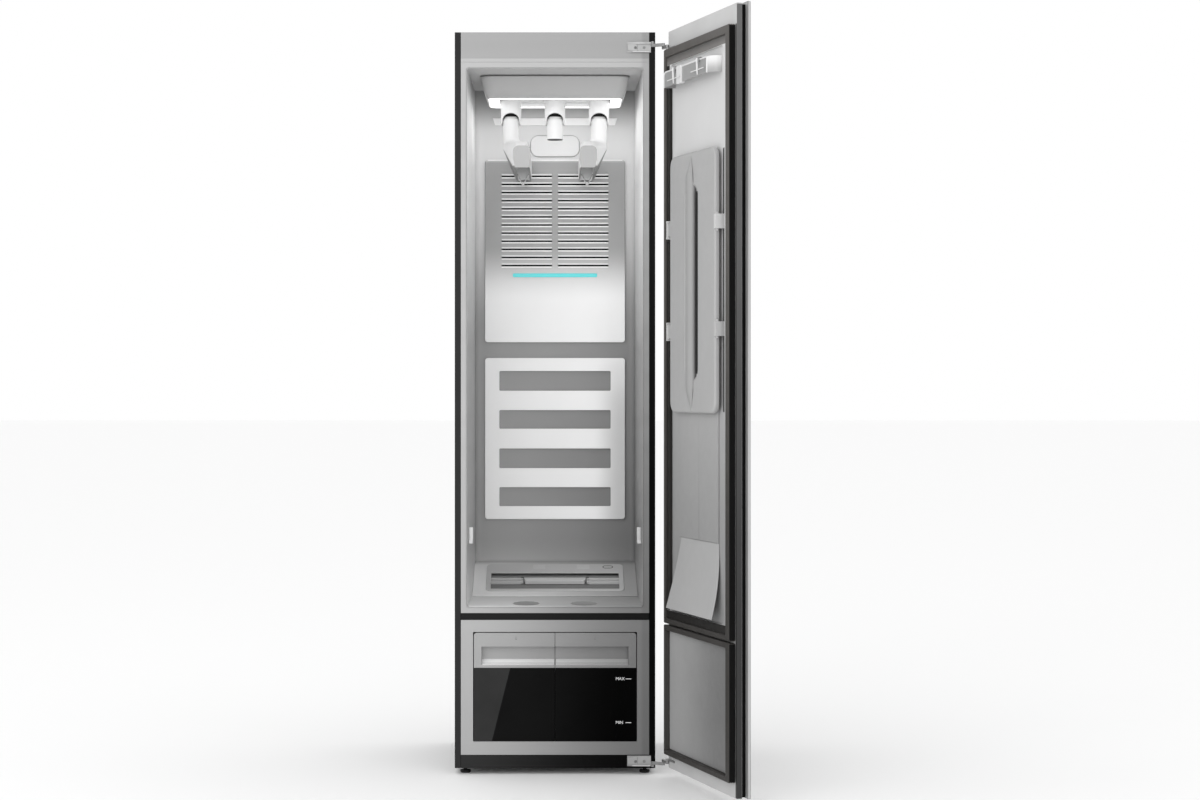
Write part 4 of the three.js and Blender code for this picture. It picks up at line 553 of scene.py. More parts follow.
class Skin:
    """A mesh in the making, drawn in millimetres on a board."""

    def __init__(self, board: Board) -> None:
        """Args: board: The board that its points are drawn on."""
        self.board = board
        self.mesh = bmesh.new()

    def ring(self, points: Iterable[Point3]) -> list[bmesh.types.BMVert]:
        """Adds points and returns their vertices in order."""
        return [self.mesh.verts.new(self.board.at(*point)) for point in points]

    def face(self, verts: Sequence[bmesh.types.BMVert]) -> None:
        """Adds one face over the vertices."""
        self.mesh.faces.new(verts)

    def bridge(self, first: Sequence[bmesh.types.BMVert], second: Sequence[bmesh.types.BMVert],
               closed: bool = True) -> None:
        """Joins two rows of as many vertices by faces.

        Args:
            first: The first row.
            second: The second row.
            closed: True for rings, False for open rows.
        """
        count = len(first)
        for here in range(count if closed else count - 1):
            after = (here + 1) % count
            self.face((first[here], first[after], second[after], second[here]))

    def stack(self, rings: Sequence[Iterable[Point3]], start_cap: bool = True, end_cap: bool = True,
              closed: bool = True) -> None:
        """Adds rings and joins each to the next one.

        Args:
            rings: The rings' points.
            start_cap: True to close the first ring with a face.
            end_cap: True to close the last one.
            closed: True where each is a ring, False for an open row.
        """
        rows = [self.ring(points) for points in rings]
        for first, second in zip(rows, rows[1:]):
            self.bridge(first, second, closed)
        if start_cap:
            self.face(rows[0])
        if end_cap:
            self.face(rows[-1])

    def piece(self, name: str, finish: str, body: Body, edge: float = 0.0, steps: int = 2,
              smooth: bool = True, subdivide: int = 0, angle: float = 30.0, slot: str = "",
              node: str = "") -> bpy.types.Object:
        """Turns the mesh into a dressed piece that rides on a body.

        Args:
            name: The piece's name.
            finish: The name of its finish.
            body: The body that it rides on.
            edge: The rounding of its sharp edges, in millimetres.
            steps: The rounding's segments.
            smooth: True to shade it smooth.
            subdivide: Levels of subdivision.
            angle: Edges sharper than this, in degrees, are rounded.
            slot: Not used: the name of its slot, where that isn't the finish's name.
            node: The frame node that it stands for, if any.

        Returns:
            The piece.
        """
        bmesh.ops.recalc_face_normals(self.mesh, faces=self.mesh.faces)
        data = bpy.data.meshes.new(name)
        self.mesh.to_mesh(data)
        self.mesh.free()
        made = bpy.data.objects.new(name, data)
        bpy.context.scene.collection.objects.link(made)
        data.materials.append(FINISHES[finish].material())
        if smooth:
            data.shade_smooth()
        if edge:
            round_edges(made, edge * MM, steps, angle)
        if subdivide:
            levels = made.modifiers.new("subdivision", "SUBSURF")
            levels.levels = levels.render_levels = subdivide
        if smooth and not subdivide:
            weigh_normals(made)
        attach(made, body.value)
        if node:
            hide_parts(node)
        LOG.info("piece %s on %s in %s", name, body.value, finish)
        return made


def round_edges(piece: bpy.types.Object, width: float, steps: int, angle: float) -> None:
    """Rounds a piece's sharp edges with a modifier.

    Args:
        piece: The piece.
        width: The rounding, in metres.
        steps: Its segments.
        angle: Edges sharper than this, in degrees, are rounded.
    """
    bevel = piece.modifiers.new("rounded edges", "BEVEL")
    bevel.width = width
    bevel.segments = steps
    bevel.limit_method = "ANGLE"
    bevel.angle_limit = math.radians(angle)
    bevel.harden_normals = False
    bevel.miter_outer = "MITER_ARC"


def weigh_normals(piece: bpy.types.Object) -> None:
    """Lets large faces lead a piece's shading, so that flat faces stay flat.

    Args:
        piece: The piece.
    """
    weighted = piece.modifiers.new("face weights", "WEIGHTED_NORMAL")
    weighted.keep_sharp = True
    weighted.weight = 100


def smooth_group() -> bpy.types.NodeTree:
    """The node group that shades a frame node smooth.

    Returns:
        The group, made once.
    """
    known = bpy.data.node_groups.get("smooth shading")
    if known:
        return known
    group = bpy.data.node_groups.new("smooth shading", "GeometryNodeTree")
    group.interface.new_socket("Geometry", in_out="INPUT", socket_type="NodeSocketGeometry")
    group.interface.new_socket("Geometry", in_out="OUTPUT", socket_type="NodeSocketGeometry")
    source = group.nodes.new("NodeGroupInput")
    smooth = group.nodes.new("GeometryNodeSetShadeSmooth")
    target = group.nodes.new("NodeGroupOutput")
    group.links.new(source.outputs[0], smooth.inputs["Geometry"])
    group.links.new(smooth.outputs[0], target.inputs[0])
    return group


def soften(node: bpy.types.Object, width: float = 0.8, steps: int = 2, angle: float = 35.0) -> None:
    """Joins a frame node's split faces, rounds its edges and shades it smooth, with modifiers alone.

    Args:
        node: The frame node.
        width: The rounding of its edges, in millimetres.
        steps: The rounding's segments.
        angle: Edges sharper than this, in degrees, are rounded.
    """
    weld = node.modifiers.new("joined corners", "WELD")
    weld.merge_threshold = 1e-5
    if width:
        round_edges(node, width * MM, steps, angle)
    shading = node.modifiers.new("smooth shading", "NODES")
    shading.node_group = smooth_group()
    weigh_normals(node)


# Outlines


def arc(centre: Point2, radius: float, start: float, end: float, steps: int) -> list[Point2]:
    """Points on an arc, both ends included.

    Args:
        centre: The arc's centre.
        radius: Its radius.
        start: The start angle, in turns of the full circle.
        end: The end angle, in turns.
        steps: How many segments it has.

    Returns:
        The points in order.
    """
    angles = [FULL_TURN * (start + (end - start) * step / steps) for step in range(steps + 1)]
    return [(centre[0] + radius * math.cos(a), centre[1] + radius * math.sin(a)) for a in angles]


def rounded(low: Point2, high: Point2, radius: float, inset: float = 0.0, steps: int = 6) -> list[Point2]:
    """A rectangle with rounded corners.

    Args:
        low: Its lower left corner.
        high: Its upper right corner.
        radius: The corners' radius.
        inset: How far the outline is drawn in.
        steps: Each corner's segments.

    Returns:
        The outline's points, anticlockwise.
    """
    left, bottom, right, top = low[0] + inset, low[1] + inset, high[0] - inset, high[1] - inset
    bend = max(radius - inset, 0.05)
    corners = (((right - bend, bottom + bend), 0.75), ((right - bend, top - bend), 0.0),
               ((left + bend, top - bend), 0.25), ((left + bend, bottom + bend), 0.5))
    return [point for centre, start in corners for point in arc(centre, bend, start, start + 0.25, steps)]


def lifted(outline: Iterable[Point2], height: float) -> list[Point3]:
    """An outline at a height over its board."""
    return [(x, y, height) for x, y in outline]


def plate(board: Board, outline: Sequence[Point2], low: float, high: float) -> Skin:
    """A plate of an outline between two heights over a board.

    Args:
        board: The board.
        outline: The outline.
        low: The plate's underside.
        high: Its upper side.

    Returns:
        The skin.
    """
    skin = Skin(board)
    skin.stack([lifted(outline, low), lifted(outline, high)])
    return skin


def beam(board: Board, profile: Sequence[Point2], left: float, right: float) -> Skin:
    """A beam along its board's x axis, of a profile in y and z.

    Args:
        board: The board.
        profile: The profile.
        left: The beam's left end.
        right: Its right end.

    Returns:
        The skin.
    """
    skin = Skin(board)
    skin.stack([[(x, y, z) for y, z in profile] for x in (left, right)])
    return skin


def border(board: Board, outer: Sequence[Point2], inner: Sequence[Point2], low: float, high: float) -> Skin:
    """A frame between two outlines of as many points, between two heights over a board.

    Args:
        board: The board.
        outer: The outer outline.
        inner: The inner outline.
        low: The frame's underside.
        high: Its upper side.

    Returns:
        The skin.
    """
    skin = Skin(board)
    rows = [skin.ring(lifted(outline, height)) for outline, height in
            ((outer, low), (outer, high), (inner, high), (inner, low))]
    for here, after in zip(rows, rows[1:] + rows[:1]):
        skin.bridge(here, after)
    return skin


def turned(board: Board, profile: Sequence[Point2], steps: int = 40, closed: bool = True) -> Skin:
    """A turned body round its board's z axis.

    Args:
        board: The board whose z axis it turns round.
        profile: Its profile as radius and height.
        steps: The segments round it.
        closed: True where the profile is a loop, False where it runs from axis to axis.

    Returns:
        The skin.
    """
    skin = Skin(board)
    rings = [[(radius * math.cos(a), radius * math.sin(a), height)
              for a in (FULL_TURN * step / steps for step in range(steps))] for radius, height in profile]
    rows = [skin.ring(points) for points in rings]
    for here, after in zip(rows, rows[1:]):
        skin.bridge(here, after)
    if closed:
        skin.bridge(rows[-1], rows[0])
    else:
        skin.face(rows[0])
        skin.face(rows[-1])
    return skin


# The studio


@dataclass
class Studio:
    """The camera at the photograph's angle, a pale floor and soft light."""

    lens: float = 74.6
    shift: Point2 = (0.0375, -0.0133)
    eye: Point3 = (-0.09864, -6.21853, 0.973)
    floor_reach: float = 60.0
    floor_tone: Colour = grey(250)
    sky: float = 1.0
    key_power: float = 60.0
    key_size: float = 3.0
    key_place: Point3 = (-2.4, -5.2, 3.0)
    fill_place: Point3 = (0.4, -8.4, 1.6)
    fill_size: float = 4.0
    fill_power: float = 150.0
    object_middle: Point3 = (-0.1, 0.2, 0.95)
    glow_place: Point3 = (-0.098, 0.29, 1.7015)
    glow_aim: Point3 = (-0.098, 0.42, 1.2)
    glow_size: Point2 = (0.3, 0.05)
    glow_power: float = 0.2
    sensor: float = 36.0

    def set_camera(self) -> None:
        """Makes the camera and gives it to the scene."""
        data = bpy.data.cameras.new("camera")
        data.lens = self.lens
        data.sensor_width = self.sensor
        data.shift_x, data.shift_y = self.shift
        data.clip_end = self.floor_reach * 4
        camera = bpy.data.objects.new("camera", data)
        camera.location = self.eye
        camera.rotation_euler = (QUARTER_TURN, 0, 0)
        bpy.context.scene.collection.objects.link(camera)
        bpy.context.scene.camera = camera

    def lay_floor(self) -> None:
        """Makes the pale floor, which isn't part of the object."""
        reach = self.floor_reach
        skin = Skin(Board(Matrix.Identity(4)))
        skin.face(skin.ring(((-reach, -reach, 0), (reach, -reach, 0), (reach, reach, 0), (-reach, reach, 0))))
        data = bpy.data.meshes.new("studio_floor")
        skin.mesh.to_mesh(data)
        skin.mesh.free()
        floor = bpy.data.objects.new("studio_floor", data)
        bpy.context.scene.collection.objects.link(floor)
        data.materials.append(Finish("studio_pale", self.floor_tone, 0.9, mottle=0.0).material())

    def light_sky(self) -> None:
        """Makes the white sky and keeps plain display colours."""
        world = bpy.data.worlds.new("studio_sky")
        world.use_nodes = True
        world.node_tree.nodes["Background"].inputs["Color"].default_value = (1, 1, 1, 1)
        world.node_tree.nodes["Background"].inputs["Strength"].default_value = self.sky
        bpy.context.scene.world = world
        bpy.context.scene.view_settings.view_transform = "Standard"

    def lamp(self, name: str, place: Point3, aim: Point3, size: Point2, power: float) -> None:
        """Hangs a soft lamp.

        Args:
            name: The lamp's name.
            place: Where it hangs.
            aim: Where it points.
            size: Its width and height.
            power: Its power, in watts.
        """
        data = bpy.data.lights.new(name, "AREA")
        data.shape = "RECTANGLE"
        data.size, data.size_y = size
        data.energy = power
        lamp = bpy.data.objects.new(name, data)
        lamp.location = place
        lamp.rotation_euler = (Vector(aim) - Vector(place)).to_track_quat("-Z", "Y").to_euler()
        bpy.context.scene.collection.objects.link(lamp)

    def light_lamps(self) -> None:
        """Hangs the key lamp at the front left, a wide fill at the front and a small one in the chamber."""
        key, fill = (self.key_size, self.key_size), (self.fill_size, self.fill_size)
        self.lamp("key_lamp", self.key_place, self.object_middle, key, self.key_power)
        self.lamp("fill_lamp", self.fill_place, self.object_middle, fill, self.fill_power)
        self.lamp("chamber_lamp", self.glow_place, self.glow_aim, self.glow_size, self.glow_power)


# The cabinet and its sub-assemblies


@dataclass
class Setting:
    """What every sub-assembly needs: the frame's nodes and the two boards."""

    nodes: dict[str, bpy.types.Object]
    cabinet: Board
    door: Board


def read_setting(frame: dict) -> Setting:
    """Finds the boards from the frame.


    Returns:
        The nodes and boards.
    """
    casing_half = 250.0
    hinge_pole = Vector((275.2, -18.8, 0))
    open_degrees = 105.8
    low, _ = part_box("side_panel_left")
    origin = Vector((low[0] + casing_half * MM, low[1], 0))
    cabinet = Matrix.Translation(origin) @ Matrix.Scale(MM, 4)
    swing = Matrix.Rotation(math.radians(open_degrees), 4, "Z")
    door = cabinet @ Matrix.Translation(hinge_pole) @ swing @ Matrix.Translation(-hinge_pole)
    return Setting(frame["nodes"], Board(cabinet), Board(door))


@dataclass
class FrameNodes:
    """The frame's own nodes: each gets its finish, and its edges are rounded.

    A node's finish is that of its slot, or one of its own that paints shade on it, as the lower insert's
    finish darkens towards the door's free edge.
    """

    setting: Setting
    edges: dict[str, float] = field(default_factory=lambda: {
        "front_frame": 1.6, "divider_bar": 1.0, "plinth": 1.0, "side_panel_left": 1.5,
        "side_panel_right": 1.5, "top_panel": 1.5, "chamber_liner": 1.2, "upper_back_panel": 0.8,
        "lower_back_panel": 1.0, "filter_console": 1.6, "tank_bay": 1.2, "door_inner_panel": 2.0,
        "door_front_panel": 2.0, "gasket_frame_upper": 2.2, "gasket_frame_lower": 2.2, "door_liner": 1.6,
        "backing_board": 1.2,
    })
    plain_edge: float = 0.6
    # The lower insert's own finish is painted shade.
    own: dict[str, str] = field(default_factory=lambda: {"door_insert_lower": "insert_grey"})

    def dress(self) -> None:
        """Dresses every node of the frame."""
        for name, node in self.setting.nodes.items():
            for place in node.material_slots:
                slot = self.own.get(name, place.material.name.split(".")[0])
                place.material = FINISHES[slot].material()
            soften(node, self.edges.get(name, self.plain_edge))
            LOG.info("frame node %s", name)


def path_tube(board: Board, path: Sequence[Point3], radius: float, across: Point3, steps: int = 10) -> Skin:
    """A round wire along a path that lies in one plane.

    Args:
        board: The board that the path is drawn on.
        path: The path's points.
        radius: The wire's radius.
        across: The direction square to the path's plane.
        steps: The segments round it.

    Returns:
        The skin.
    """
    skin = Skin(board)
    points = [Vector(point) for point in path]
    normal = Vector(across).normalized()
    rings = []
    for here, point in enumerate(points):
        before = points[max(here - 1, 0)]
        after = points[min(here + 1, len(points) - 1)]
        sideways = (after - before).normalized().cross(normal)
        rings.append([tuple(point + radius * (math.cos(a) * sideways + math.sin(a) * normal))
                      for a in (FULL_TURN * step / steps for step in range(steps))])
    skin.stack(rings)
    return skin


@dataclass
class AirHead:
    """The air head under the ceiling: a tapered hood over a lit rim and a recess."""

    setting: Setting
    top: float = 1759.8
    foot: float = 1705.0
    recess_top: float = 1715.0
    top_half: float = 191.0
    top_front: float = 125.0
    top_bend: float = 30.0
    foot_half: float = 174.0
    foot_front: float = 170.0
    foot_bend: float = 22.0
    back: float = 388.0
    swell: float = 1.6
    lip: float = 3.3
    recess_inset: float = 31.0
    band_share: float = 0.45
    recess_bend: float = 8.0
    ring_low: float = 1703.6
    ring_high: float = 1708.3

    def wall(self, share: float) -> list[Point2]:
        """The hood's outline at a share of the way from its top to its foot.

        Args:
            share: 0 at the top, 1 at the foot.

        Returns:
            The outline's points.
        """
        half = self.top_half + (self.foot_half - self.top_half) * share
        front = self.top_front + (self.foot_front - self.top_front) * share
        bend = self.top_bend + (self.foot_bend - self.top_bend) * share
        swell = self.swell * math.sin(math.pi * share)
        return rounded((-half, front), (half, self.back), bend + swell, -swell, steps=10)

    def rim(self, inset: float) -> list[Point2]:
        """The foot's outline, drawn in, and less so at the front and back where the ring is narrower.

        Args:
            inset: How far it is drawn in at the sides.

        Returns:
            The outline's points.
        """
        half = self.foot_half - inset
        near = min(inset, self.lip) + max(0.0, inset - self.lip) * self.band_share
        low, high = (-half, self.foot_front + near), (half, self.back - near)
        return rounded(low, high, max(self.foot_bend - inset, self.recess_bend), steps=10)

    def build(self) -> None:
        """Builds the hood and its glowing ring."""
        shares = [step / 8 for step in range(9)]
        depth = self.top - self.foot - 0.5
        rows = [lifted(self.wall(share), self.top - depth * share) for share in shares]
        lip, recess, foot, over = self.lip, self.recess_inset, self.foot, self.ring_high + 0.2
        rim = ((0.6, foot), (lip - 0.5, foot), (lip, foot + 0.5), (lip, over), (recess - 1, over),
               (recess - 1, foot + 0.3), (recess - 0.6, foot), (recess, foot + 0.3),
               (recess, self.recess_top - 2), (recess + 2, self.recess_top))
        rows += [lifted(self.rim(inset), height) for inset, height in rim]
        skin = Skin(self.setting.cabinet)
        skin.stack(rows)
        # The hood's grey is painted shade on the head's white plastic, and it is brighter behind its front
        # edge: painted light in the recess.
        skin.piece("air_head_hood", "head_white", Body.CABINET, angle=25, slot="panel_white", node="air_head")
        ring = border(self.setting.cabinet, self.rim(self.lip + 0.3), self.rim(self.recess_inset - 1.3),
                      self.ring_low, self.ring_high)
        ring.piece("head_light_lens", "light_white", Body.CABINET, edge=1.2, node="head_light_ring")


@dataclass
class Collar:
    """A nozzle collar under the air head, with an arch at its front that shows the nozzle's seal."""

    setting: Setting
    node: str
    middle: float
    depth: float = 278.0
    radius: float = 26.5
    wall: float = 2.2
    low: float = 1647.0
    arch_low: float = 1659.0
    arch_rise: float = 17.0
    arch_half: float = 22.4
    cheek_half: float = 24.4
    top: float = 1714.8
    flare: float = 1.2
    shoulder: float = 30.0
    lug_place: float = 19.6
    lug_width: float = 3.2
    lug_height: float = 6.0
    lug_span: Point2 = (-9.5, -5.5)
    steps: int = 128

    def edge(self, angle: float) -> float:
        """The height of the collar's lower edge at an angle round it.

        Args:
            angle: The angle, in radians.

        Returns:
            The height.
        """
        across = abs(self.radius * math.cos(angle))
        if math.sin(angle) > 0 or across > self.cheek_half:
            return self.low
        if across > self.arch_half:
            share = (across - self.arch_half) / (self.cheek_half - self.arch_half)
            return self.arch_low + (self.low - self.arch_low) * share
        return self.arch_low + self.arch_rise * math.sqrt(1 - (across / self.arch_half) ** 2)

    def row(self, radius: float, height: float | None) -> list[Point3]:
        """A ring at a height, or along the lower edge where the height is None.

        Args:
            radius: The ring's radius.
            height: Its height, or None.

        Returns:
            The ring's points.
        """
        angles = [FULL_TURN * step / self.steps for step in range(self.steps)]
        return [(radius * math.cos(a), radius * math.sin(a), self.edge(a) if height is None else height)
                for a in angles]

    def build(self) -> None:
        """Builds the collar and the two lugs that hold the nozzle's groove."""
        board = self.setting.cabinet.standing(self.middle, self.depth)
        skin = Skin(board)
        inner, shoulder = self.radius - self.wall, self.top - self.shoulder
        rows = [skin.ring(self.row(radius, height)) for radius, height in (
            (self.radius + self.flare, self.top), (self.radius + self.flare, self.top - 1.6),
            (self.radius, self.top - 5), (self.radius, shoulder), (self.radius, None),
            (inner, None), (inner, shoulder), (inner, self.top))]
        for here, after in zip(rows, rows[1:] + rows[:1]):
            skin.bridge(here, after)
        skin.piece(self.node.replace("nozzle_", "") + "_sleeve", "hanger_white", Body.CABINET, node=self.node)
        foot, (near, far) = self.low + 3, self.lug_span
        for word, left in (("left", -self.lug_place - self.lug_width), ("right", self.lug_place)):
            outline = rounded((left, near), (left + self.lug_width, far), 1.0)
            lug = plate(board, outline, foot, foot + self.lug_height)
            lug.piece(f"{self.node}_lug_{word}", "hanger_white", Body.CABINET, edge=0.6)


@dataclass
class SealNeck:
    """Sizes that every nozzle's neck shares, and the black seal round it."""

    depth: float = 278.0
    seal_low: float = 1668.0
    seal_high: float = 1682.0
    seal_radius: float = 23.6
    throat: float = 16.6
    top: float = 1685.0

    def build(self, setting: Setting, name: str, middle: float, body: Body) -> None:
        """Builds the seal.

        Args:
            setting: The frame's nodes and boards.
            name: The seal's name.
            middle: The neck's place across the cabinet.
            body: The body that it rides on.
        """
        board = setting.cabinet.standing(middle, self.depth)
        reach = self.seal_radius
        low, high = self.seal_low, self.seal_high
        profile = ((self.throat, low), (reach - 1.6, low), (reach, low + 1.4), (reach - 1.2, low + 4.4),
                   (reach, low + 7.2), (reach - 1.2, high - 2), (reach - 3, high), (self.throat, high))
        seal = turned(board, profile, steps=64)
        seal.piece(name, "seal_rubber", body, slot="recess_black")


@dataclass
class AirHanger:
    """A hanger that blows air into a garment: a hollow arched arm, open below, on a seal neck."""

    setting: Setting
    node: str
    side: int
    body: Body
    axis: float = 83.6
    neck_reach: float = 31.0
    depth: float = 278.0
    low: float = 1517.0
    crown: float = 1600.5
    droop: float = 20.0
    end_drop: float = 8.0
    front: float = 60.0
    back: float = 476.0
    flare: float = 29.0
    flare_reach: float = 190.0
    crease_low: float = 1523.0
    crease_rise: float = 62.0
    neck_cage: float = 23.5
    wall: float = 3.0
    cap_high: float = 1573.5
    cap_half: float = 21.6
    cap_foot_half: float = 17.6
    cap_bend: float = 13.5
    wire: float = 1.5
    hook_half: float = 15.0
    hook_tip: float = 1490.5
    stations: tuple[float, ...] = (60, 63, 80, 120, 175, 225, 254.5, 278, 301.5, 331, 380, 435, 460, 473, 476)
    neck_rows: tuple[Point2, ...] = (
        (1612, 1.0), (1632, 1.0), (1654, 1.0), (1662.5, 0.985), (1665.5, 0.8), (1667, 0.79), (1671, 0.79),
        (1684.9, 0.79))

    def place(self, reach: float, depth: float, height: float) -> Point3:
        """A point of the hanger, from how far outward of the arm's middle it is."""
        return self.side * (self.axis + reach), depth, height

    def section(self, depth: float) -> list[Point3]:
        """The arm's section at a depth, from its inner lower edge over its top to its outer lower edge.

        Args:
            depth: The depth.

        Returns:
            The section's points.
        """
        half = (self.back - self.front) / 2
        reach = abs(depth - (self.front + half)) / half
        bulge = math.cos(min(1.0, abs(depth - self.depth) / self.flare_reach) * QUARTER_TURN) ** 2
        end = max(0.0, reach - 0.9) / 0.1
        narrow = 1 - 0.1 * end
        top = self.crown - self.droop * reach ** 2 - self.end_drop * end
        crease = self.crease_low + self.crease_rise * bulge
        outer = 23 * narrow + self.flare * bulge
        return [self.place(u, depth, z) for u, z in (
            (-20 * narrow, self.low), (-23 * narrow, self.low + 22), (-21 * narrow, top - 4),
            (-9 * narrow * (1 - bulge) + 7.5 * bulge, top + 1), (9 + 22 * bulge, top + 1),
            (outer - 2, top - 4), (outer, crease), (17.5 * narrow, self.low))]

    def neck(self, height: float, share: float) -> list[Point3]:
        """A row of the neck's cage.

        Args:
            height: The row's height.
            share: Its share of the cage's radius.

        Returns:
            The row's points.
        """
        turns = (-0.375, -0.25, -0.125, 0.0, 0.125, 0.25, 0.375, 0.5)
        cage = self.neck_cage * share
        return [self.place(self.neck_reach + cage * math.cos(FULL_TURN * t),
                           self.depth + cage * math.sin(FULL_TURN * t), height) for t in turns]

    def build(self) -> None:
        """Builds the arm with its neck, the cap at its front, its seal and its hook."""
        skin = Skin(self.setting.cabinet)
        rows = [skin.ring(self.section(depth)) for depth in self.stations]
        middle = self.stations.index(self.depth)
        for row, (here, after) in enumerate(zip(rows, rows[1:])):
            for point in range(7):
                if row in (middle - 1, middle) and point in (3, 4):
                    continue
                skin.face((here[point], here[point + 1], after[point + 1], after[point]))
        skin.face(rows[0])
        skin.face(rows[-1])
        near, mid, far = rows[middle - 1], rows[middle], rows[middle + 1]
        hole = [near[3], near[4], near[5], mid[5], far[5], far[4], far[3], mid[3]]
        skin.mesh.verts.remove(mid[4])
        last = hole
        for height, share in self.neck_rows:
            ring = skin.ring(self.neck(height, share))
            skin.bridge(last, ring)
            last = ring
        crease = skin.mesh.edges.layers.float.new("crease_edge")
        for here, after in zip(rows, rows[1:]):
            edge = skin.mesh.edges.get((here[6], after[6]))
            edge[crease] = 0.9
        arm = skin.piece(f"{self.node}_arm", "hanger_white", self.body, subdivide=3)
        shell = arm.modifiers.new("wall", "SOLIDIFY")
        shell.thickness = self.wall * MM
        shell.offset = -1
        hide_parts(self.node)
        self.add_cap()
        self.add_hook()
        middle = self.side * (self.axis + self.neck_reach)
        SealNeck().build(self.setting, f"{self.node}_seal", middle, self.body)

    def add_cap(self) -> None:
        """Adds the cap that closes the arm's front, in a grey darker than the arm's white: painted shade on
        its front face.
        """
        board = self.setting.cabinet.facing_front(self.front, self.side * self.axis)
        low, high, half, bend = self.low + 1.2, self.cap_high, self.cap_half, self.cap_bend
        outline = [(-self.cap_foot_half, low), (self.cap_foot_half, low), (half, low + 22)]
        outline += arc((half - bend, high - bend), bend, 0.0, 0.25, 10)
        outline += arc((bend - half, high - bend), bend, 0.25, 0.5, 10)
        outline.append((-half, low + 22))
        cap = plate(board, outline, -1.5, 0.9)
        cap.piece(f"{self.node}_front_cap", "hanger_cap", self.body, edge=0.8, steps=3, slot="hanger_white")

    def add_hook(self) -> None:
        """Adds the wire hook under the arm."""
        middle = self.side * self.axis
        rises = ((self.hook_half, self.low + 3 - self.hook_tip), (1.6, 2.0), (0.8, 0.5), (0.0, 0.0))
        bow = [(-across, up) for across, up in rises] + [(across, up) for across, up in rises[-2::-1]]
        path = [(middle + across, self.depth, self.hook_tip + up) for across, up in bow]
        hook = path_tube(self.setting.cabinet, path, self.wire, (0, 1, 0))
        hook.piece(f"{self.node}_hook", "wire_steel", self.body, slot="hinge_steel")


@dataclass
class CentreNozzle:
    """The short nozzle between the two hangers."""

    setting: Setting
    low: float = 1609.0
    radius: float = 20.5
    throat: float = 16.9
    bore: float = 14.5

    def build(self) -> None:
        """Builds the nozzle, the screen in its mouth and its seal."""
        neck = SealNeck()
        board = self.setting.cabinet.standing(0, neck.depth)
        reach, low = self.radius, self.low
        profile = ((reach - 1.6, low), (reach - 0.6, low + 0.3), (reach, low + 1.6), (reach + 0.4, 1630),
                   (reach + 0.7, 1655), (reach, 1661), (self.throat + 1, 1664.5), (self.throat, 1666),
                   (self.throat, neck.top), (self.bore, neck.top), (self.bore, 1664), (reach - 2.4, 1654),
                   (reach - 2.4, low + 0.6))
        nozzle = turned(board, profile, steps=64)
        nozzle.piece("center_nozzle_tube", "hanger_white", Body.NOZZLE, angle=50, node="center_nozzle")
        screen = turned(board, ((reach - 1.4, low - 0.6), (reach - 1.2, low + 2.2)), steps=48, closed=False)
        screen.piece("center_nozzle_screen", "screen_grey", Body.NOZZLE, slot="liner_grey")
        neck.build(self.setting, "center_nozzle_seal", 0.0, Body.NOZZLE)


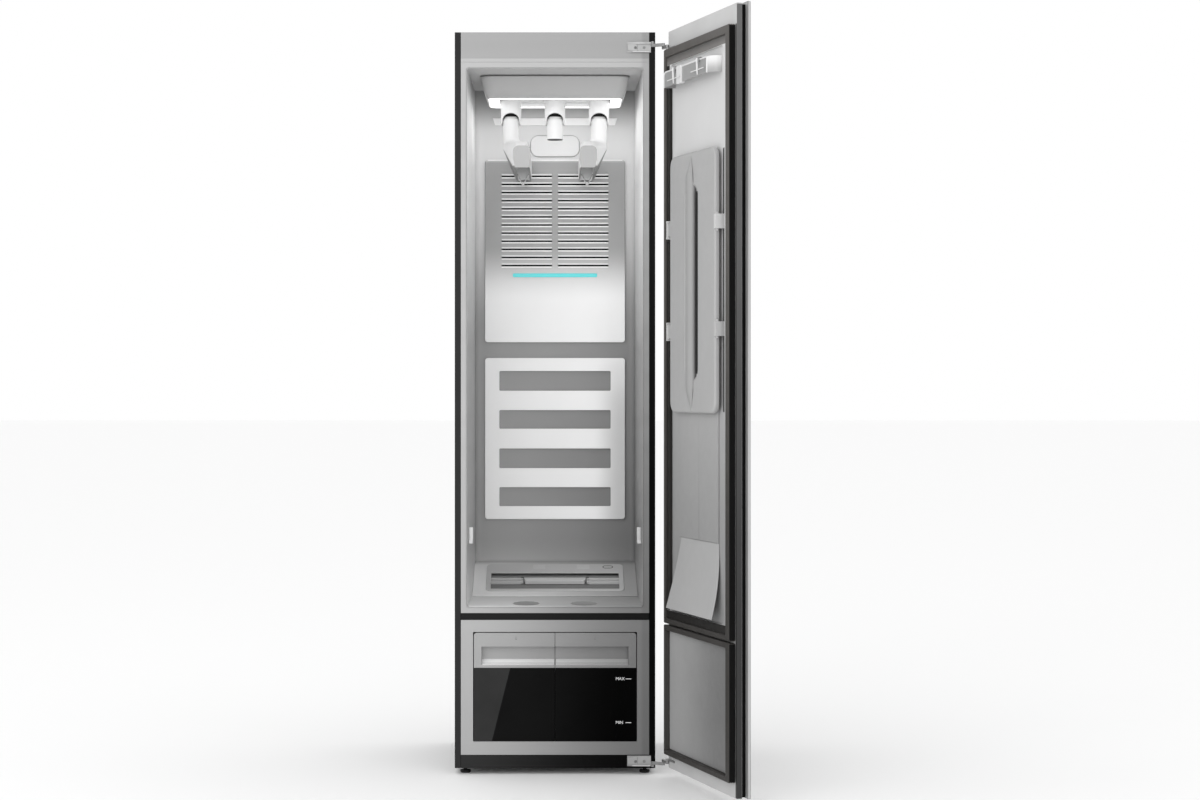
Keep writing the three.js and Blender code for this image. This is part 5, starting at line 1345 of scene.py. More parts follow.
@dataclass
class FilterCover:
    """The lift-out filter cover on the console's slope, with its grille and pull plate."""

    setting: Setting
    slope_foot: Point3 = (0.0, 290.0, 421.0)
    slope_turn: float = math.radians(21.4)
    half: float = 181.5
    low: float = 24.0
    high: float = 185.0
    bend: float = 14.0
    mouth_half: float = 169.0
    mouth_low: float = 36.0
    mouth_high: float = 131.0
    pull_low: float = 77.0
    pull_high: float = 95.0
    pull_half: float = 82.0
    pull_foot_half: float = 78.0
    floor: Point2 = (-8.0, -5.4)
    tray_low: float = -16.0
    slat_places: tuple[float, ...] = (52.0, 59.0, 66.0, 110.0, 117.0, 124.0)
    slat_half: float = 2.6
    rib_spans: tuple[tuple[str, float, float], ...] = (("low", 76.0, 84.0), ("high", 94.0, 103.0))
    rib_lift: float = 7.0
    notch_low: float = 101.5
    notch: float = 7.0

    def board(self) -> Board:
        """The board on the console's slope: x across, y up the slope and z off it."""
        rise, run = math.sin(self.slope_turn), math.cos(self.slope_turn)
        return self.setting.cabinet.on(self.slope_foot, (1, 0, 0), (0, run, rise), (0, -rise, run))

    def strip(self, name: str, outline: Sequence[Point2], low: float, high: float, finish: str,
              edge: float = 0.5) -> None:
        """Adds a flat part of the cover between two heights off the slope."""
        strip = plate(self.board(), outline, low, high)
        strip.piece(name, finish, Body.FILTER, edge=edge, slot="chamber_plastic")

    def rib(self, name: str, low: float, high: float, side: int) -> None:
        """Adds a light rib beside the pull plate, kinked up where it meets the plate.

        Args:
            name: The rib's name.
            low: Its lower edge.
            high: Its upper edge.
            side: -1 on the left, 1 on the right.
        """
        outer, bend, end = self.mouth_half, self.pull_half + 10, self.pull_half + 1.5
        lift = self.rib_lift
        points = [(side * x, y) for x, y in ((outer, low), (bend, low), (end, low + lift), (end, high + lift),
                                             (bend, high), (outer, high))]
        self.strip(name, points if side > 0 else points[::-1], -5.0, 1.6, "cover_grey")

    def build(self) -> None:
        """Builds the cover's frame, floor, slots, ribs and pull plate."""
        board = self.board()
        outer = rounded((-self.half, self.low), (self.half, self.high), self.bend)
        inner = rounded((-self.mouth_half, self.mouth_low), (self.mouth_half, self.mouth_high), 2.0)
        border(board, outer, inner, 0.2, 2.8).piece("filter_cover_frame", "cover_grey", Body.FILTER, edge=0.9,
                                                    slot="chamber_plastic", node="filter_cover")
        left, right, low = -self.mouth_half, self.mouth_half, self.mouth_low
        under, floor = self.floor
        bed = rounded((left, low - 2), (right, self.mouth_high + 1), 1.0)
        self.strip("filter_cover_floor", bed, under, floor, "cover_shade")
        slot = rounded((left, low), (right, low + 9), 1.0)
        self.strip("filter_cover_front_slot", slot, floor, floor + 1, "cover_slot")
        for index, place in enumerate(self.slat_places):
            slat = rounded((left, place - self.slat_half), (right, place + self.slat_half), 0.8)
            self.strip(f"filter_cover_slat_{index + 1}", slat, floor, floor + 2, "cover_band", edge=0.7)
        for side, word in ((-1, "left"), (1, "right")):
            for level, rib_low, rib_high in self.rib_spans:
                self.rib(f"filter_cover_{level}_rib_{word}", rib_low, rib_high, side)
            start = side * (self.pull_half + 4.5) - self.notch / 2
            spot = rounded((start, self.notch_low), (start + self.notch, self.notch_low + self.notch), 2.0)
            self.strip(f"filter_cover_pull_notch_{word}", spot, -4.0, 1.9, "cover_slot")
        pull = [(-self.pull_foot_half, self.pull_low), (self.pull_foot_half, self.pull_low),
                (self.pull_half, self.pull_high), (-self.pull_half, self.pull_high)]
        self.strip("filter_cover_pull", pull, -5.0, 6.4, "cover_pull", edge=1.2)
        tray = rounded((left + 6, low), (right - 6, self.mouth_high), 3.0)
        self.strip("filter_cover_tray", tray, self.tray_low, under, "cover_shade")


@dataclass
class ConsoleMarks:
    """Bare pads and a bare pill outline on the filter console's upper strip."""

    cover: FilterCover
    pads: tuple[Point2, ...] = ((-58.0, -26.0), (58.0, 92.0))
    pill: Point2 = (127.0, 155.0)
    pill_line: float = 1.6
    low: float = 154.0
    high: float = 178.0
    face: float = 2.6

    def build(self) -> None:
        """Builds the pads and the pill."""
        board = self.cover.board()
        for index, (left, right) in enumerate(self.pads):
            pad = plate(board, rounded((left, self.low), (right, self.high), 2.0), self.face, self.face + 0.7)
            pad.piece(f"console_pad_{index + 1}", "cover_pull", Body.FILTER, edge=0.3, slot="chamber_plastic")
        low, high = (self.pill[0], self.low + 4), (self.pill[1], self.high - 4)
        outer, inner = (rounded(low, high, 8.0, inset) for inset in (0.0, self.pill_line))
        pill = border(board, outer, inner, self.face, self.face + 0.8)
        pill.piece("console_pill", "cover_slot", Body.FILTER, edge=0.2, slot="chamber_plastic")


@dataclass
class TankMarks:
    """The droplets on the tanks' lids, and the level marks on the drain tank's window."""

    setting: Setting
    face: float = -1.0
    droplet_height: float = 341.0
    droplet_size: float = 5.2
    level_left: float = 176.0
    level_right: float = 190.0
    word_left: float = 151.0
    word_size: float = 10.5
    line_half: float = 0.7
    levels: tuple[tuple[str, float], ...] = (("MAX", 238.0), ("MIN", 129.0))
    droplets: tuple[tuple[str, float, Body], ...] = (
        ("supply", -97.0, Body.SUPPLY), ("drain", 100.0, Body.DRAIN))
    droplet_steps: int = 28
    proud: float = 0.25

    def front(self) -> Board:
        """The board on the tanks' front."""
        return self.setting.cabinet.facing_front(self.face)

    def droplet(self, middle: float, inset: float) -> list[Point2]:
        """A droplet's outline.

        Args:
            middle: Its place across.
            inset: How far it is drawn in.

        Returns:
            The outline's points.
        """
        size = self.droplet_size - inset
        points = []
        for step in range(self.droplet_steps):
            turn = FULL_TURN * step / self.droplet_steps
            pull = math.sin(turn / 2) ** 3
            points.append((middle + size * 0.78 * math.sin(turn) * pull,
                           self.droplet_height + size * math.cos(turn)))
        return points[::-1]

    def build(self) -> None:
        """Builds both droplets and both level marks."""
        for name, middle, body in self.droplets:
            drop = border(self.front(), self.droplet(middle, 0.0), self.droplet(middle, 1.2), 0.0, self.proud)
            drop.piece(f"{name}_droplet", "mark_dark", body, smooth=False, slot="tank_lid_grey")
        for word, height in self.levels:
            low, high = height - self.line_half, height + self.line_half
            outline = rounded((self.level_left, low), (self.level_right, high), 0.3)
            line = plate(self.front(), outline, 0.0, self.proud)
            line.piece(f"level_line_{word.lower()}", "mark_white", Body.DRAIN, smooth=False,
                       slot="panel_white")
            self.write(word, height)

    def write(self, word: str, height: float) -> None:
        """Writes a level's word beside its line.

        Args:
            word: The word.
            height: The height of its middle.
        """
        text = bpy.data.curves.new(f"level_word_{word.lower()}", "FONT")
        text.body = word
        text.size = self.word_size
        text.extrude = self.proud / 2
        text.align_y = "CENTER"
        written = bpy.data.objects.new(text.name, text)
        bpy.context.scene.collection.objects.link(written)
        bpy.context.view_layer.update()
        data = bpy.data.meshes.new_from_object(written.evaluated_get(bpy.context.evaluated_depsgraph_get()))
        bpy.data.objects.remove(written)
        place = self.front().matrix @ Matrix.Translation((self.word_left, height, self.proud / 2))
        data.transform(place)
        made = bpy.data.objects.new(f"level_word_{word.lower()}", data)
        bpy.context.scene.collection.objects.link(made)
        data.materials.clear()
        data.materials.append(FINISHES["mark_white"].material())
        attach(made, Body.DRAIN.value)
        LOG.info("piece %s on %s in mark_white", made.name, Body.DRAIN.value)


@dataclass
class HingeDetails:
    """The moulded face of each hinge plate, and the rivets of its links.

    When the door closes, the links fold over the plate beyond its fold line, so only a thin bed lies there.
    """

    setting: Setting
    left: float = 180.0
    right: float = 239.0
    fold: float = 205.4
    half: float = 13.0
    lobe_half: float = 8.5
    lobe: float = 5.0
    plate_front: float = 3.0
    face_front: float = 5.4
    bed_front: float = 3.25
    lip_front: float = 8.2
    hinges: tuple[tuple[str, float], ...] = (("top", 1812.0), ("bottom", 33.8))
    screws: tuple[Point3, ...] = ((200.6, 5.0, 1.0), (222.0, 3.2, 0.12))
    screw_head: tuple[Point2, ...] = (
        (3.6, 0.0), (3.6, 1.0), (2.9, 1.7), (1.7, 1.9), (1.6, 1.0), (0.4, 0.8), (0.4, 0.0))
    pins: tuple[tuple[Body, Point2], ...] = (
        (Body.CABINET, (243.0, -8.0)), (Body.INNER_LINKS, (269.3, -22.8)), (Body.DOOR, (277.4, -51.6)))
    top_rivets: tuple[Point2, ...] = ((1825.0, 1826.2), (1819.5, 1819.8), (1803.6, 1804.2))
    bottom_rivets: tuple[Point2, ...] = ((19.6, 20.8), (26.0, 26.3), (41.6, 42.2))
    rivet_radius: float = 2.6

    def outline(self, middle: float) -> list[Point2]:
        """The plate's outline with two lobes at its free end and a taper.

        Args:
            middle: The hinge's height.

        Returns:
            The outline's points.
        """
        points = [(self.fold, middle - self.half + 1.0), (self.fold, middle + self.half - 1.0),
                  (self.left + 20, middle + self.half - 1.6), (self.left + 12, middle + self.lobe_half + 1)]
        for side in (1, -1):
            points += arc((self.left + self.lobe + 0.6, middle + side * (self.lobe_half - self.lobe + 0.8)),
                          self.lobe - 0.4, 0.25 if side > 0 else 0.45, 0.55 if side > 0 else 0.75, 8)
        points += [(self.left + 12, middle - self.lobe_half - 1), (self.left + 20, middle - self.half + 1.6)]
        return points[::-1]

    def build(self) -> None:
        """Builds both hinges' faces, screws and rivets."""
        front = self.setting.cabinet.facing_front()
        for word, middle in self.hinges:
            face = plate(front, self.outline(middle), self.plate_front, self.face_front)
            face.piece(f"hinge_face_{word}", "hinge_plate_steel", Body.CABINET, edge=1.4, steps=3,
                       slot="hinge_steel")
            low, high = middle - self.half, middle + self.half
            bed = plate(front, rounded((self.fold - 0.4, low + 0.6), (self.right, high - 0.6), 0.4),
                        self.plate_front, self.bed_front)
            bed.piece(f"hinge_bed_{word}", "hinge_plate_steel", Body.CABINET, edge=0.1, slot="hinge_steel")
            # The lip's bright finish is a painted highlight along the plate's lower edge.
            lip = plate(front, rounded((self.left + 12, low + 0.4), (self.right - 2, low + 3.0), 1.2),
                        self.plate_front, self.lip_front)
            lip.piece(f"hinge_lip_{word}", "hinge_bright", Body.CABINET, edge=1.0, steps=3,
                      slot="hinge_steel")
            for index, (place, base, rise) in enumerate(self.screws):
                profile = [(around, base + rise * up) for around, up in self.screw_head]
                screw = turned(front.standing(place, middle - 1), profile, steps=32, closed=False)
                screw.piece(f"hinge_screw_{word}_{index + 1}", "screw_dark", Body.CABINET, slot="hinge_steel")
        self.add_rivets("top", self.top_rivets)
        self.add_rivets("bottom", self.bottom_rivets)

    def add_rivets(self, word: str, spans: Sequence[Point2]) -> None:
        """Adds the heads of a hinge's rivets, which look up on the top hinge and down on the bottom one.

        Args:
            word: The hinge, top or bottom.
            spans: Each rivet head's lowest and highest place.
        """
        wide, narrow = self.rivet_radius, self.rivet_radius - 0.4
        for index, ((body, (x, y)), (low, high)) in enumerate(zip(self.pins, spans)):
            bevel = min(0.3, (high - low) / 2)
            profile = ((wide, low), (wide, high - bevel), (narrow, high), (0.5, high)) if word == "top" else (
                (0.5, low), (narrow, low), (wide, low + bevel), (wide, high))
            head = turned(self.setting.cabinet.standing(x, y), profile, steps=24, closed=False)
            head.piece(f"hinge_rivet_{word}_{index + 1}", "hinge_bright", body, slot="hinge_steel")


@dataclass
class Foot:
    """A levelling foot: a ribbed disc under a threaded stem."""

    setting: Setting
    name: str
    body: Body
    middle: Point2
    disc: float = 13.2
    disc_high: float = 7.0
    stem: float = 4.95
    stem_high: float = 41.0
    pitch: float = 2.0
    thread: float = 0.6

    def build(self) -> None:
        """Builds the foot in one turned body."""
        board = self.setting.cabinet.standing(*self.middle)
        reach, top = self.disc, self.disc_high
        profile = [(reach - 6, 0.05), (reach - 1.4, 0.05), (reach, 1.5), (reach, 3.2), (reach - 0.5, 3.6),
                   (reach, 4.0), (reach, top - 1.2), (reach - 1.2, top), (self.stem + 2.2, top),
                   (self.stem, top + 1.0)]
        height = self.disc_high + 2.0
        while height < self.stem_high - self.pitch:
            profile += [(self.stem, height), (self.stem - self.thread, height + self.pitch / 2)]
            height += self.pitch
        profile += [(self.stem, self.stem_high - 1.2), (self.stem - 1, self.stem_high)]
        foot = turned(board, profile, steps=40, closed=False)
        foot.piece(f"{self.name}_threaded", "foot_black", self.body, angle=50, node=self.name)


@dataclass
class SmallParts:
    """Fasteners and thin trim on the chamber and the back, painted shade in the floor's dishes, painted light
    on the tanks' grip sills and a painted shadow beside the press plate.
    """

    setting: Setting
    dish_place: float = 73.0
    dish_setback: float = 92.0
    dish_reach: Point2 = (35.0, 63.0)
    dish_depth: float = 3.0
    dish_shares: tuple[float, ...] = (0.2, 0.5, 0.75, 0.9, 0.985)
    chamber_floor: float = 418.2
    sill: tuple[Point2, ...] = (
        (-0.6, 272.5), (12.0, 276.6), (23.8, 284.6), (23.8, 284.9), (12.0, 277.0), (-0.6, 272.9))
    sills: tuple[tuple[str, Point2, Body], ...] = (
        ("supply", (-182.6, -1.6), Body.SUPPLY), ("drain", (1.6, 182.6), Body.DRAIN))
    press_shadow_face: float = -13.3
    press_shadow_span: tuple[Point2, Point2] = ((163.0, 908.0), (209.0, 1520.0))
    duct_face: float = 487.9
    duct: tuple[Point2, Point2] = ((-65.0, 1584.5), (65.0, 1640.4))
    duct_bend: float = 20.0
    back_face: float = 560.0
    screw_sides: tuple[float, ...] = (-240.0, 240.0)
    screw_heights: tuple[float, ...] = (45.0, 480.0, 920.0, 1360.0, 1815.0)
    screw_middles: tuple[float, ...] = (-120.0, 0.0, 120.0)
    screw_ends: tuple[float, ...] = (26.0, 1838.0)
    screw_head: tuple[Point2, ...] = (
        (4.2, -0.4), (4.2, 0.7), (3.2, 1.7), (1.6, 2.1), (1.4, 1.2), (0.3, 1.1), (0.3, -0.4))

    def build(self) -> None:
        """Builds every small part."""
        self.add_dishes()
        self.add_grip_sills()
        self.add_press_shadow()
        self.add_duct_seam()
        self.add_back_screws()

    def add_dishes(self) -> None:
        """Lines the two shallow dishes in the chamber's floor with a grey skin: painted shade, darker at the
        front.
        """
        across, along = self.dish_reach
        angles = [FULL_TURN * step / 40 for step in range(40)]
        for side, word in ((-1, "left"), (1, "right")):
            rings = []
            for lift, shares in ((0.15, self.dish_shares), (0.45, self.dish_shares[::-1])):
                for share in shares:
                    depth = lift - self.dish_depth * math.sqrt(1 - share ** 2)
                    rings.append([(across * share * math.cos(a), along * share * math.sin(a), depth)
                                  for a in angles])
            place = side * self.dish_place
            skin = Skin(self.setting.cabinet.standing(place, self.dish_setback, self.chamber_floor))
            skin.stack(rings)
            skin.piece(f"floor_dish_{word}", "dish_shade", Body.CABINET, slot="chamber_plastic")

    def add_grip_sills(self) -> None:
        """Lines the sloped sills of the tanks' grip recess with a near-white skin: painted light on the
        upward slopes.
        """
        for name, (left, right), body in self.sills:
            sill = beam(self.setting.cabinet, self.sill, left, right)
            sill.piece(f"{name}_grip_sill", "grip_light", body, smooth=False, slot="tank_lid_grey")

    def add_press_shadow(self) -> None:
        """Adds a dark sheet on the liner beside the press plate's free side: a painted shadow of the plate.
        """
        board = self.setting.door.facing_in(self.press_shadow_face)
        strip = plate(board, rounded(*self.press_shadow_span, 4.0), -0.2, 0.5)
        strip.piece("press_side_shadow", "side_shade", Body.DOOR, edge=0.3, slot="gasket_brown")

    def add_duct_seam(self) -> None:
        """Adds the thin dark seam round the duct cover."""
        board = self.setting.cabinet.facing_front(self.duct_face)
        outer = rounded(*self.duct, self.duct_bend + 1.4, -1.4, 10)
        inner = rounded(*self.duct, self.duct_bend, 0.4, 10)
        seam = border(board, outer, inner, 0.1, 1.2)
        seam.piece("duct_cover_seam", "seam_grey", Body.CABINET, edge=0.2, slot="recess_black")

    def add_back_screws(self) -> None:
        """Adds the screws that hold the back panel."""
        places = [(x, z) for x in self.screw_sides for z in self.screw_heights]
        places += [(x, z) for x in self.screw_middles for z in self.screw_ends]
        for index, (x, z) in enumerate(places):
            board = self.setting.cabinet.on((x, self.back_face, z), (1, 0, 0), (0, 0, -1), (0, 1, 0))
            screw = turned(board, self.screw_head, steps=24, closed=False)
            screw.piece(f"back_screw_{index + 1}", "screw_zinc", Body.CABINET, slot="tray_zinc")


@dataclass
class BackWall:
    """Painted highlights on edges, painted shade behind the slots, and a bright strip on the chamber's back
    wall.
    """

    setting: Setting
    panel_face: float = 477.7
    slot_low: float = 1291.2
    slot_pitch: float = 21.8
    slot_rows: int = 12
    slot_half: float = 2.5
    bevel: float = 3.5
    slot_length: float = 136.0
    slot_spacing: float = 151.5
    slot_depth: float = 10.0
    skin_depth: float = 0.3
    top_edge: tuple[Point2, Point2] = ((-181.0, 1572.8), (181.0, 1575.2))
    strip_half: float = 168.0
    strip_low: float = 1668.0
    strip_high: float = 1688.0
    strip_face: float = 485.0

    def build(self) -> None:
        """Builds the painted highlights on the slots' bevels, the painted shade behind the slots, the painted
        highlight on the panel's top edge and the raised strip's face.
        """
        self.add_slot_edges()
        self.add_slot_depths()
        self.add_top_edge()
        self.add_strip()

    def add_slot_edges(self) -> None:
        """Lines the slots' bevels with a near-white, faintly glowing skin: a painted highlight."""
        skin = Skin(self.setting.cabinet)
        face, reach, thick = self.panel_face - 0.1, self.slot_half + self.bevel, self.skin_depth
        foot, half = self.panel_face + self.bevel - 0.2, self.slot_half + 0.1
        profile = ((face, reach), (foot, half), (foot - thick, half - thick), (face - thick, reach - thick))
        for row in range(self.slot_rows):
            middle = self.slot_low + self.slot_pitch * row
            for side in (-1, 1):
                centre = side * self.slot_spacing / 2
                ends = (centre - self.slot_length / 2 + 0.3, centre + self.slot_length / 2 - 0.3)
                for way in (-1, 1):
                    skin.stack([[(x, y, middle + way * z) for y, z in profile] for x in ends])
        skin.piece("slot_bevels", "edge_white", Body.CABINET, smooth=False, slot="panel_white")

    def add_slot_depths(self) -> None:
        """Adds dark sheets on the wall behind the slots: painted shade in the slots' depth."""
        board = self.setting.cabinet.facing_front(self.panel_face + self.slot_depth)
        low = self.slot_low - 6.0
        high = self.slot_low + self.slot_pitch * (self.slot_rows - 1) + 6.0
        for side, word in ((-1, "left"), (1, "right")):
            middle = side * self.slot_spacing / 2
            reach = self.slot_length / 2 + 4.0
            sheet = plate(board, rounded((middle - reach, low), (middle + reach, high), 2.0), -0.4, 0.2)
            sheet.piece(f"slot_depth_{word}", "recess_black", Body.CABINET, smooth=False, slot="recess_black")

    def add_top_edge(self) -> None:
        """Adds the rounded edge along the upper panel's top, near-white and faintly glowing: a painted
        highlight.
        """
        board = self.setting.cabinet.facing_front(self.panel_face)
        edge = plate(board, rounded(*self.top_edge, 1.1), -1.0, 0.5)
        edge.piece("upper_panel_top_edge", "edge_white", Body.CABINET, edge=0.5, slot="panel_white")

    def add_strip(self) -> None:
        """Adds the face of the raised strip behind the collars."""
        board = self.setting.cabinet.facing_front(self.strip_face)
        half, low, high = self.strip_half, self.strip_low + 0.6, self.strip_high - 0.6
        outline = [(-half + 7, low), (half - 7, low), (half - 1, high), (-half + 1, high)]
        strip = plate(board, outline, -0.5, 0.5)
        strip.piece("rear_strip_face", "strip_white", Body.CABINET, edge=0.4, slot="panel_white")


@dataclass
class DoorTrim:
    """The door's seal trim and painted shade: the seal's ribbed sides and returns, toned with painted light
    and shade, and painted shade on the leaf's free edge.
    """

    setting: Setting
    face: float = -17.0
    half: float = 248.5
    gasket_half: float = 236.5
    gasket_depth: float = 16.2
    window_hinge: float = 226.4
    window_free: float = -212.5
    return_width: float = 20.0
    liner_border: float = 10.5
    upper: Point2 = (384.0, 1797.0)
    lower: Point2 = (60.0, 380.0)
    window: Point2 = (397.6, 1776.4)
    leaf: Point2 = (26.0, 1842.0)
    ribs: int = 5

    def border_front(self) -> float:
        """How far the liner's border stands out, on the door's board."""
        return self.face + 0.3 + self.liner_border

    def build(self) -> None:
        """Builds every strip."""
        self.add_side("gasket_side_upper", self.upper)
        self.add_side("gasket_side_lower", self.lower)
        self.add_hinge_return()
        self.add_free_return()
        self.add_end_returns()
        self.add_edge_shades()

    def add_side(self, name: str, span: Point2) -> None:
        """Adds the ribbed side of the seal along the door's free edge, near-black: painted shade on the
        seal's brown.

        Args:
            name: The strip's name.
            span: The seal's lowest and highest place.
        """
        x, low, high = -self.gasket_half, span[0] + 3, span[1] - 3
        profile = [(x + 0.4, self.face + 0.6)]
        pitch = (self.gasket_depth - 2.0) / self.ribs
        for rib in range(self.ribs):
            start = self.face + 0.9 + rib * pitch
            profile += [(x - 0.2, start), (x - 1.3, start + pitch * 0.3), (x - 1.3, start + pitch * 0.7),
                        (x - 0.2, start + pitch * 0.98)]
        profile.append((x + 0.4, self.face + self.gasket_depth - 0.9))
        side = plate(self.setting.door, profile, low, high)
        side.piece(name, "seal_rubber", Body.DOOR, smooth=False, slot="gasket_brown")

    def add_free_return(self) -> None:
        """Adds the seal's return over the liner's border on the free side, in a darker copy of the seal's
        brown: painted shade.
        """
        front, inner, outer = self.border_front(), self.window_free, -self.gasket_half + 3.0
        outline = [(inner + 0.6, front - 4.0), (inner + 0.6, front + 0.4), (inner, front + 0.9),
                   (outer, front + 0.9), (outer, front - 0.4), (inner - 0.2, front - 0.4),
                   (inner - 0.2, front - 4.0)]
        strip = plate(self.setting.door, outline, self.window[0] + 6, self.window[1] - 6)
        strip.piece("gasket_return_free", "gasket_dark", Body.DOOR, edge=0.3, slot="gasket_brown")

    def add_hinge_return(self) -> None:
        """Adds the seal's return along the hinge side of the liner, in a darker copy of the seal's brown:
        painted shade.
        """
        front, foot = self.border_front(), self.face + 3.9
        outer, inner = self.window_hinge + 0.1, self.window_hinge - self.return_width
        outline = [(outer, front - 0.5), (outer, front + 0.9), (inner - 0.3, front + 0.9),
                   (inner - 1.1, front + 0.2), (inner - 1.1, foot), (inner + 0.6, foot),
                   (inner + 0.6, front - 0.5)]
        strip = plate(self.setting.door, outline, self.window[0] + 20, self.window[1] - 20)
        strip.piece("gasket_return", "gasket_dark", Body.DOOR, edge=0.5, slot="gasket_brown")

    def add_end_returns(self) -> None:
        """Adds the seal's returns over the liner's border at the window's head and foot, a lighter copy of
        the seal's brown at the head (painted light) and a darker one at the foot (painted shade).
        """
        board = self.setting.door.facing_in(self.border_front())
        left, right = -self.window_hinge + 1.0, -self.window_free - 1.0
        low, high = self.window
        for word, finish, start, end in (("head", "gasket_head", high - 19.0, high + 3.0),
                                         ("foot", "gasket_dark", low - 3.0, low + 19.0)):
            strip = plate(board, rounded((left, start), (right, end), 1.0), -0.4, 0.7)
            strip.piece(f"gasket_return_{word}", finish, Body.DOOR, edge=0.4, slot="gasket_brown")

    def add_edge_shades(self) -> None:
        """Adds a dark skin that wraps the leaf's free edge beside the seals: painted shade on the leaf's
        grey, darker towards the bottom.
        """
        x, face = -self.half, self.face
        seal_top = self.upper[1]
        for word, z_low, z_high, wrap in (("low", self.leaf[0], seal_top, -self.gasket_half - 1.6),
                                          ("high", seal_top, self.leaf[1], x + 1.4)):
            outline = [(x + 0.3, face - 11.2), (x + 0.3, face - 0.3), (wrap, face - 0.3), (wrap, face + 0.5),
                       (x + 0.6, face + 0.5), (x - 0.5, face - 0.8), (x - 0.5, face - 11.2)]
            band = plate(self.setting.door, outline, z_low, z_high)
            band.piece(f"leaf_edge_shade_{word}", "edge_grey", Body.DOOR, edge=0.2, slot="door_grey")


@dataclass
class PressPlate:
    """The trouser press plate: a crowned plate with a long pointed ridge in a finger scoop."""

    setting: Setting
    back: float = -6.5
    thickness: float = 13.0
    hinge_edge: float = 168.0
    free_edge: float = -160.0
    low: float = 904.0
    high: float = 1525.0
    bend: float = 28.0
    scoop_middle: float = 8.0
    scoop_half: float = 50.0
    scoop_low: float = 982.0
    scoop_high: float = 1446.0
    scoop_depth: float = 7.5
    scoop_bend: float = 32.0
    ridge_half: float = 18.0
    ridge_rise: float = 11.5
    ridge_low: float = 908.0
    ridge_high: float = 1517.0
    ridge_tip: float = 66.0
    ridge_steps: int = 36
    ridge_section: tuple[Point2, ...] = (
        (-1, -1), (-0.98, 0.35), (-0.8, 0.78), (-0.35, 1.0), (0.35, 0.97), (0.8, 0.72), (0.98, 0.3), (1, -1))
    ridge_shadow_width: float = 10.5
    knuckle: float = 197.0
    knuckle_radius: float = 4.0
    knuckle_height: float = 34.0
    web_half: float = 2.4
    knuckle_lows: tuple[float, ...] = KNUCKLE_LOWS

    def face_board(self) -> Board:
        """The board on the door: x across, y up and z out of the leaf."""
        return self.setting.door.facing_in()

    def outline(self, inset: float) -> list[Point2]:
        """The plate's outline, mirrored as its board is."""
        return rounded((-self.hinge_edge, self.low), (-self.free_edge, self.high), self.bend, inset, steps=10)

    def scoop(self, inset: float) -> list[Point2]:
        """The scoop's outline."""
        left, right = -self.scoop_middle - self.scoop_half, -self.scoop_middle + self.scoop_half
        return rounded((left, self.scoop_low), (right, self.scoop_high), self.scoop_bend, inset, steps=10)

    def build(self) -> None:
        """Builds the plate, its ridge, the shade beside it and the hinge's knuckles."""
        board = self.face_board()
        back, face = self.back, self.back + self.thickness
        floor = face - self.scoop_depth
        rim = ((3.0, back), (0.6, back + 1.2), (0.0, back + 3.0), (0.0, face - 4.5), (0.7, face - 2.4),
               (2.4, face - 0.8), (5.5, face))
        dip = ((-1.0, face), (0.6, face - 0.5), (4.0, face - 3.4), (9.0, floor + 0.8), (14.0, floor))
        skin = Skin(board)
        skin.stack([lifted(self.outline(inset), height) for inset, height in rim] +
                   [lifted(self.scoop(inset), height) for inset, height in dip])
        skin.piece("press_plate_panel", "press_grey", Body.PRESS, node="press_plate")
        self.add_ridge(board, face)
        reach = self.knuckle_radius
        for index, low in enumerate(self.knuckle_lows):
            high = low + self.knuckle_height
            profile = ((reach - 0.6, low + 0.2), (reach, low + 0.8), (reach, high - 0.8),
                       (reach - 0.6, high - 0.2))
            rod = turned(self.setting.door.standing(self.knuckle, 0), profile, steps=24, closed=False)
            rod.piece(f"press_knuckle_{index + 1}", "press_grey", Body.PRESS)
            outline = rounded((-self.knuckle, low + 0.5), (-self.hinge_edge + 3, high - 0.5), 1.0)
            web = plate(board, outline, -self.web_half, self.web_half)
            web.piece(f"press_web_{index + 1}", "press_grey", Body.PRESS, edge=0.8)

    def add_ridge(self, board: Board, face: float) -> None:
        """Adds the ridge with its pointed ends, in a darker copy of the plate's grey (painted shade), and a
        dark sheet on its free side: the ridge's painted shadow.

        Args:
            board: The plate's board.
            face: The face's height over it.
        """
        skin = Skin(board)
        rows = []
        span = self.ridge_high - self.ridge_low
        for step in range(self.ridge_steps + 1):
            place = span * step / self.ridge_steps
            end = min(place, span - place) / self.ridge_tip
            share = math.sin(min(1.0, end) * QUARTER_TURN)
            half = max(0.6, self.ridge_half * share)
            rise = max(0.4, self.ridge_rise * min(1.0, end * 1.3))
            base = face - (self.scoop_depth if share >= 1.0 else 0.6)
            height = self.ridge_low + place
            rows.append([(-self.scoop_middle + half * across, height, base if up < 0 else face + rise * up)
                         for across, up in self.ridge_section])
        skin.stack(rows)
        skin.piece("press_ridge", "ridge_grey", Body.PRESS, slot="press_grey")
        # The dark sheet beside the ridge is its painted shadow.
        left, floor = -self.scoop_middle + self.ridge_half - 0.5, face - self.scoop_depth
        low, high = (left, self.scoop_low + 15), (left + self.ridge_shadow_width, self.scoop_high - 15)
        groove = plate(board, rounded(low, high, 5.0), floor - 0.2, floor + 0.6)
        groove.piece("press_ridge_shadow", "groove_shade", Body.PRESS, edge=0.2, slot="press_grey")


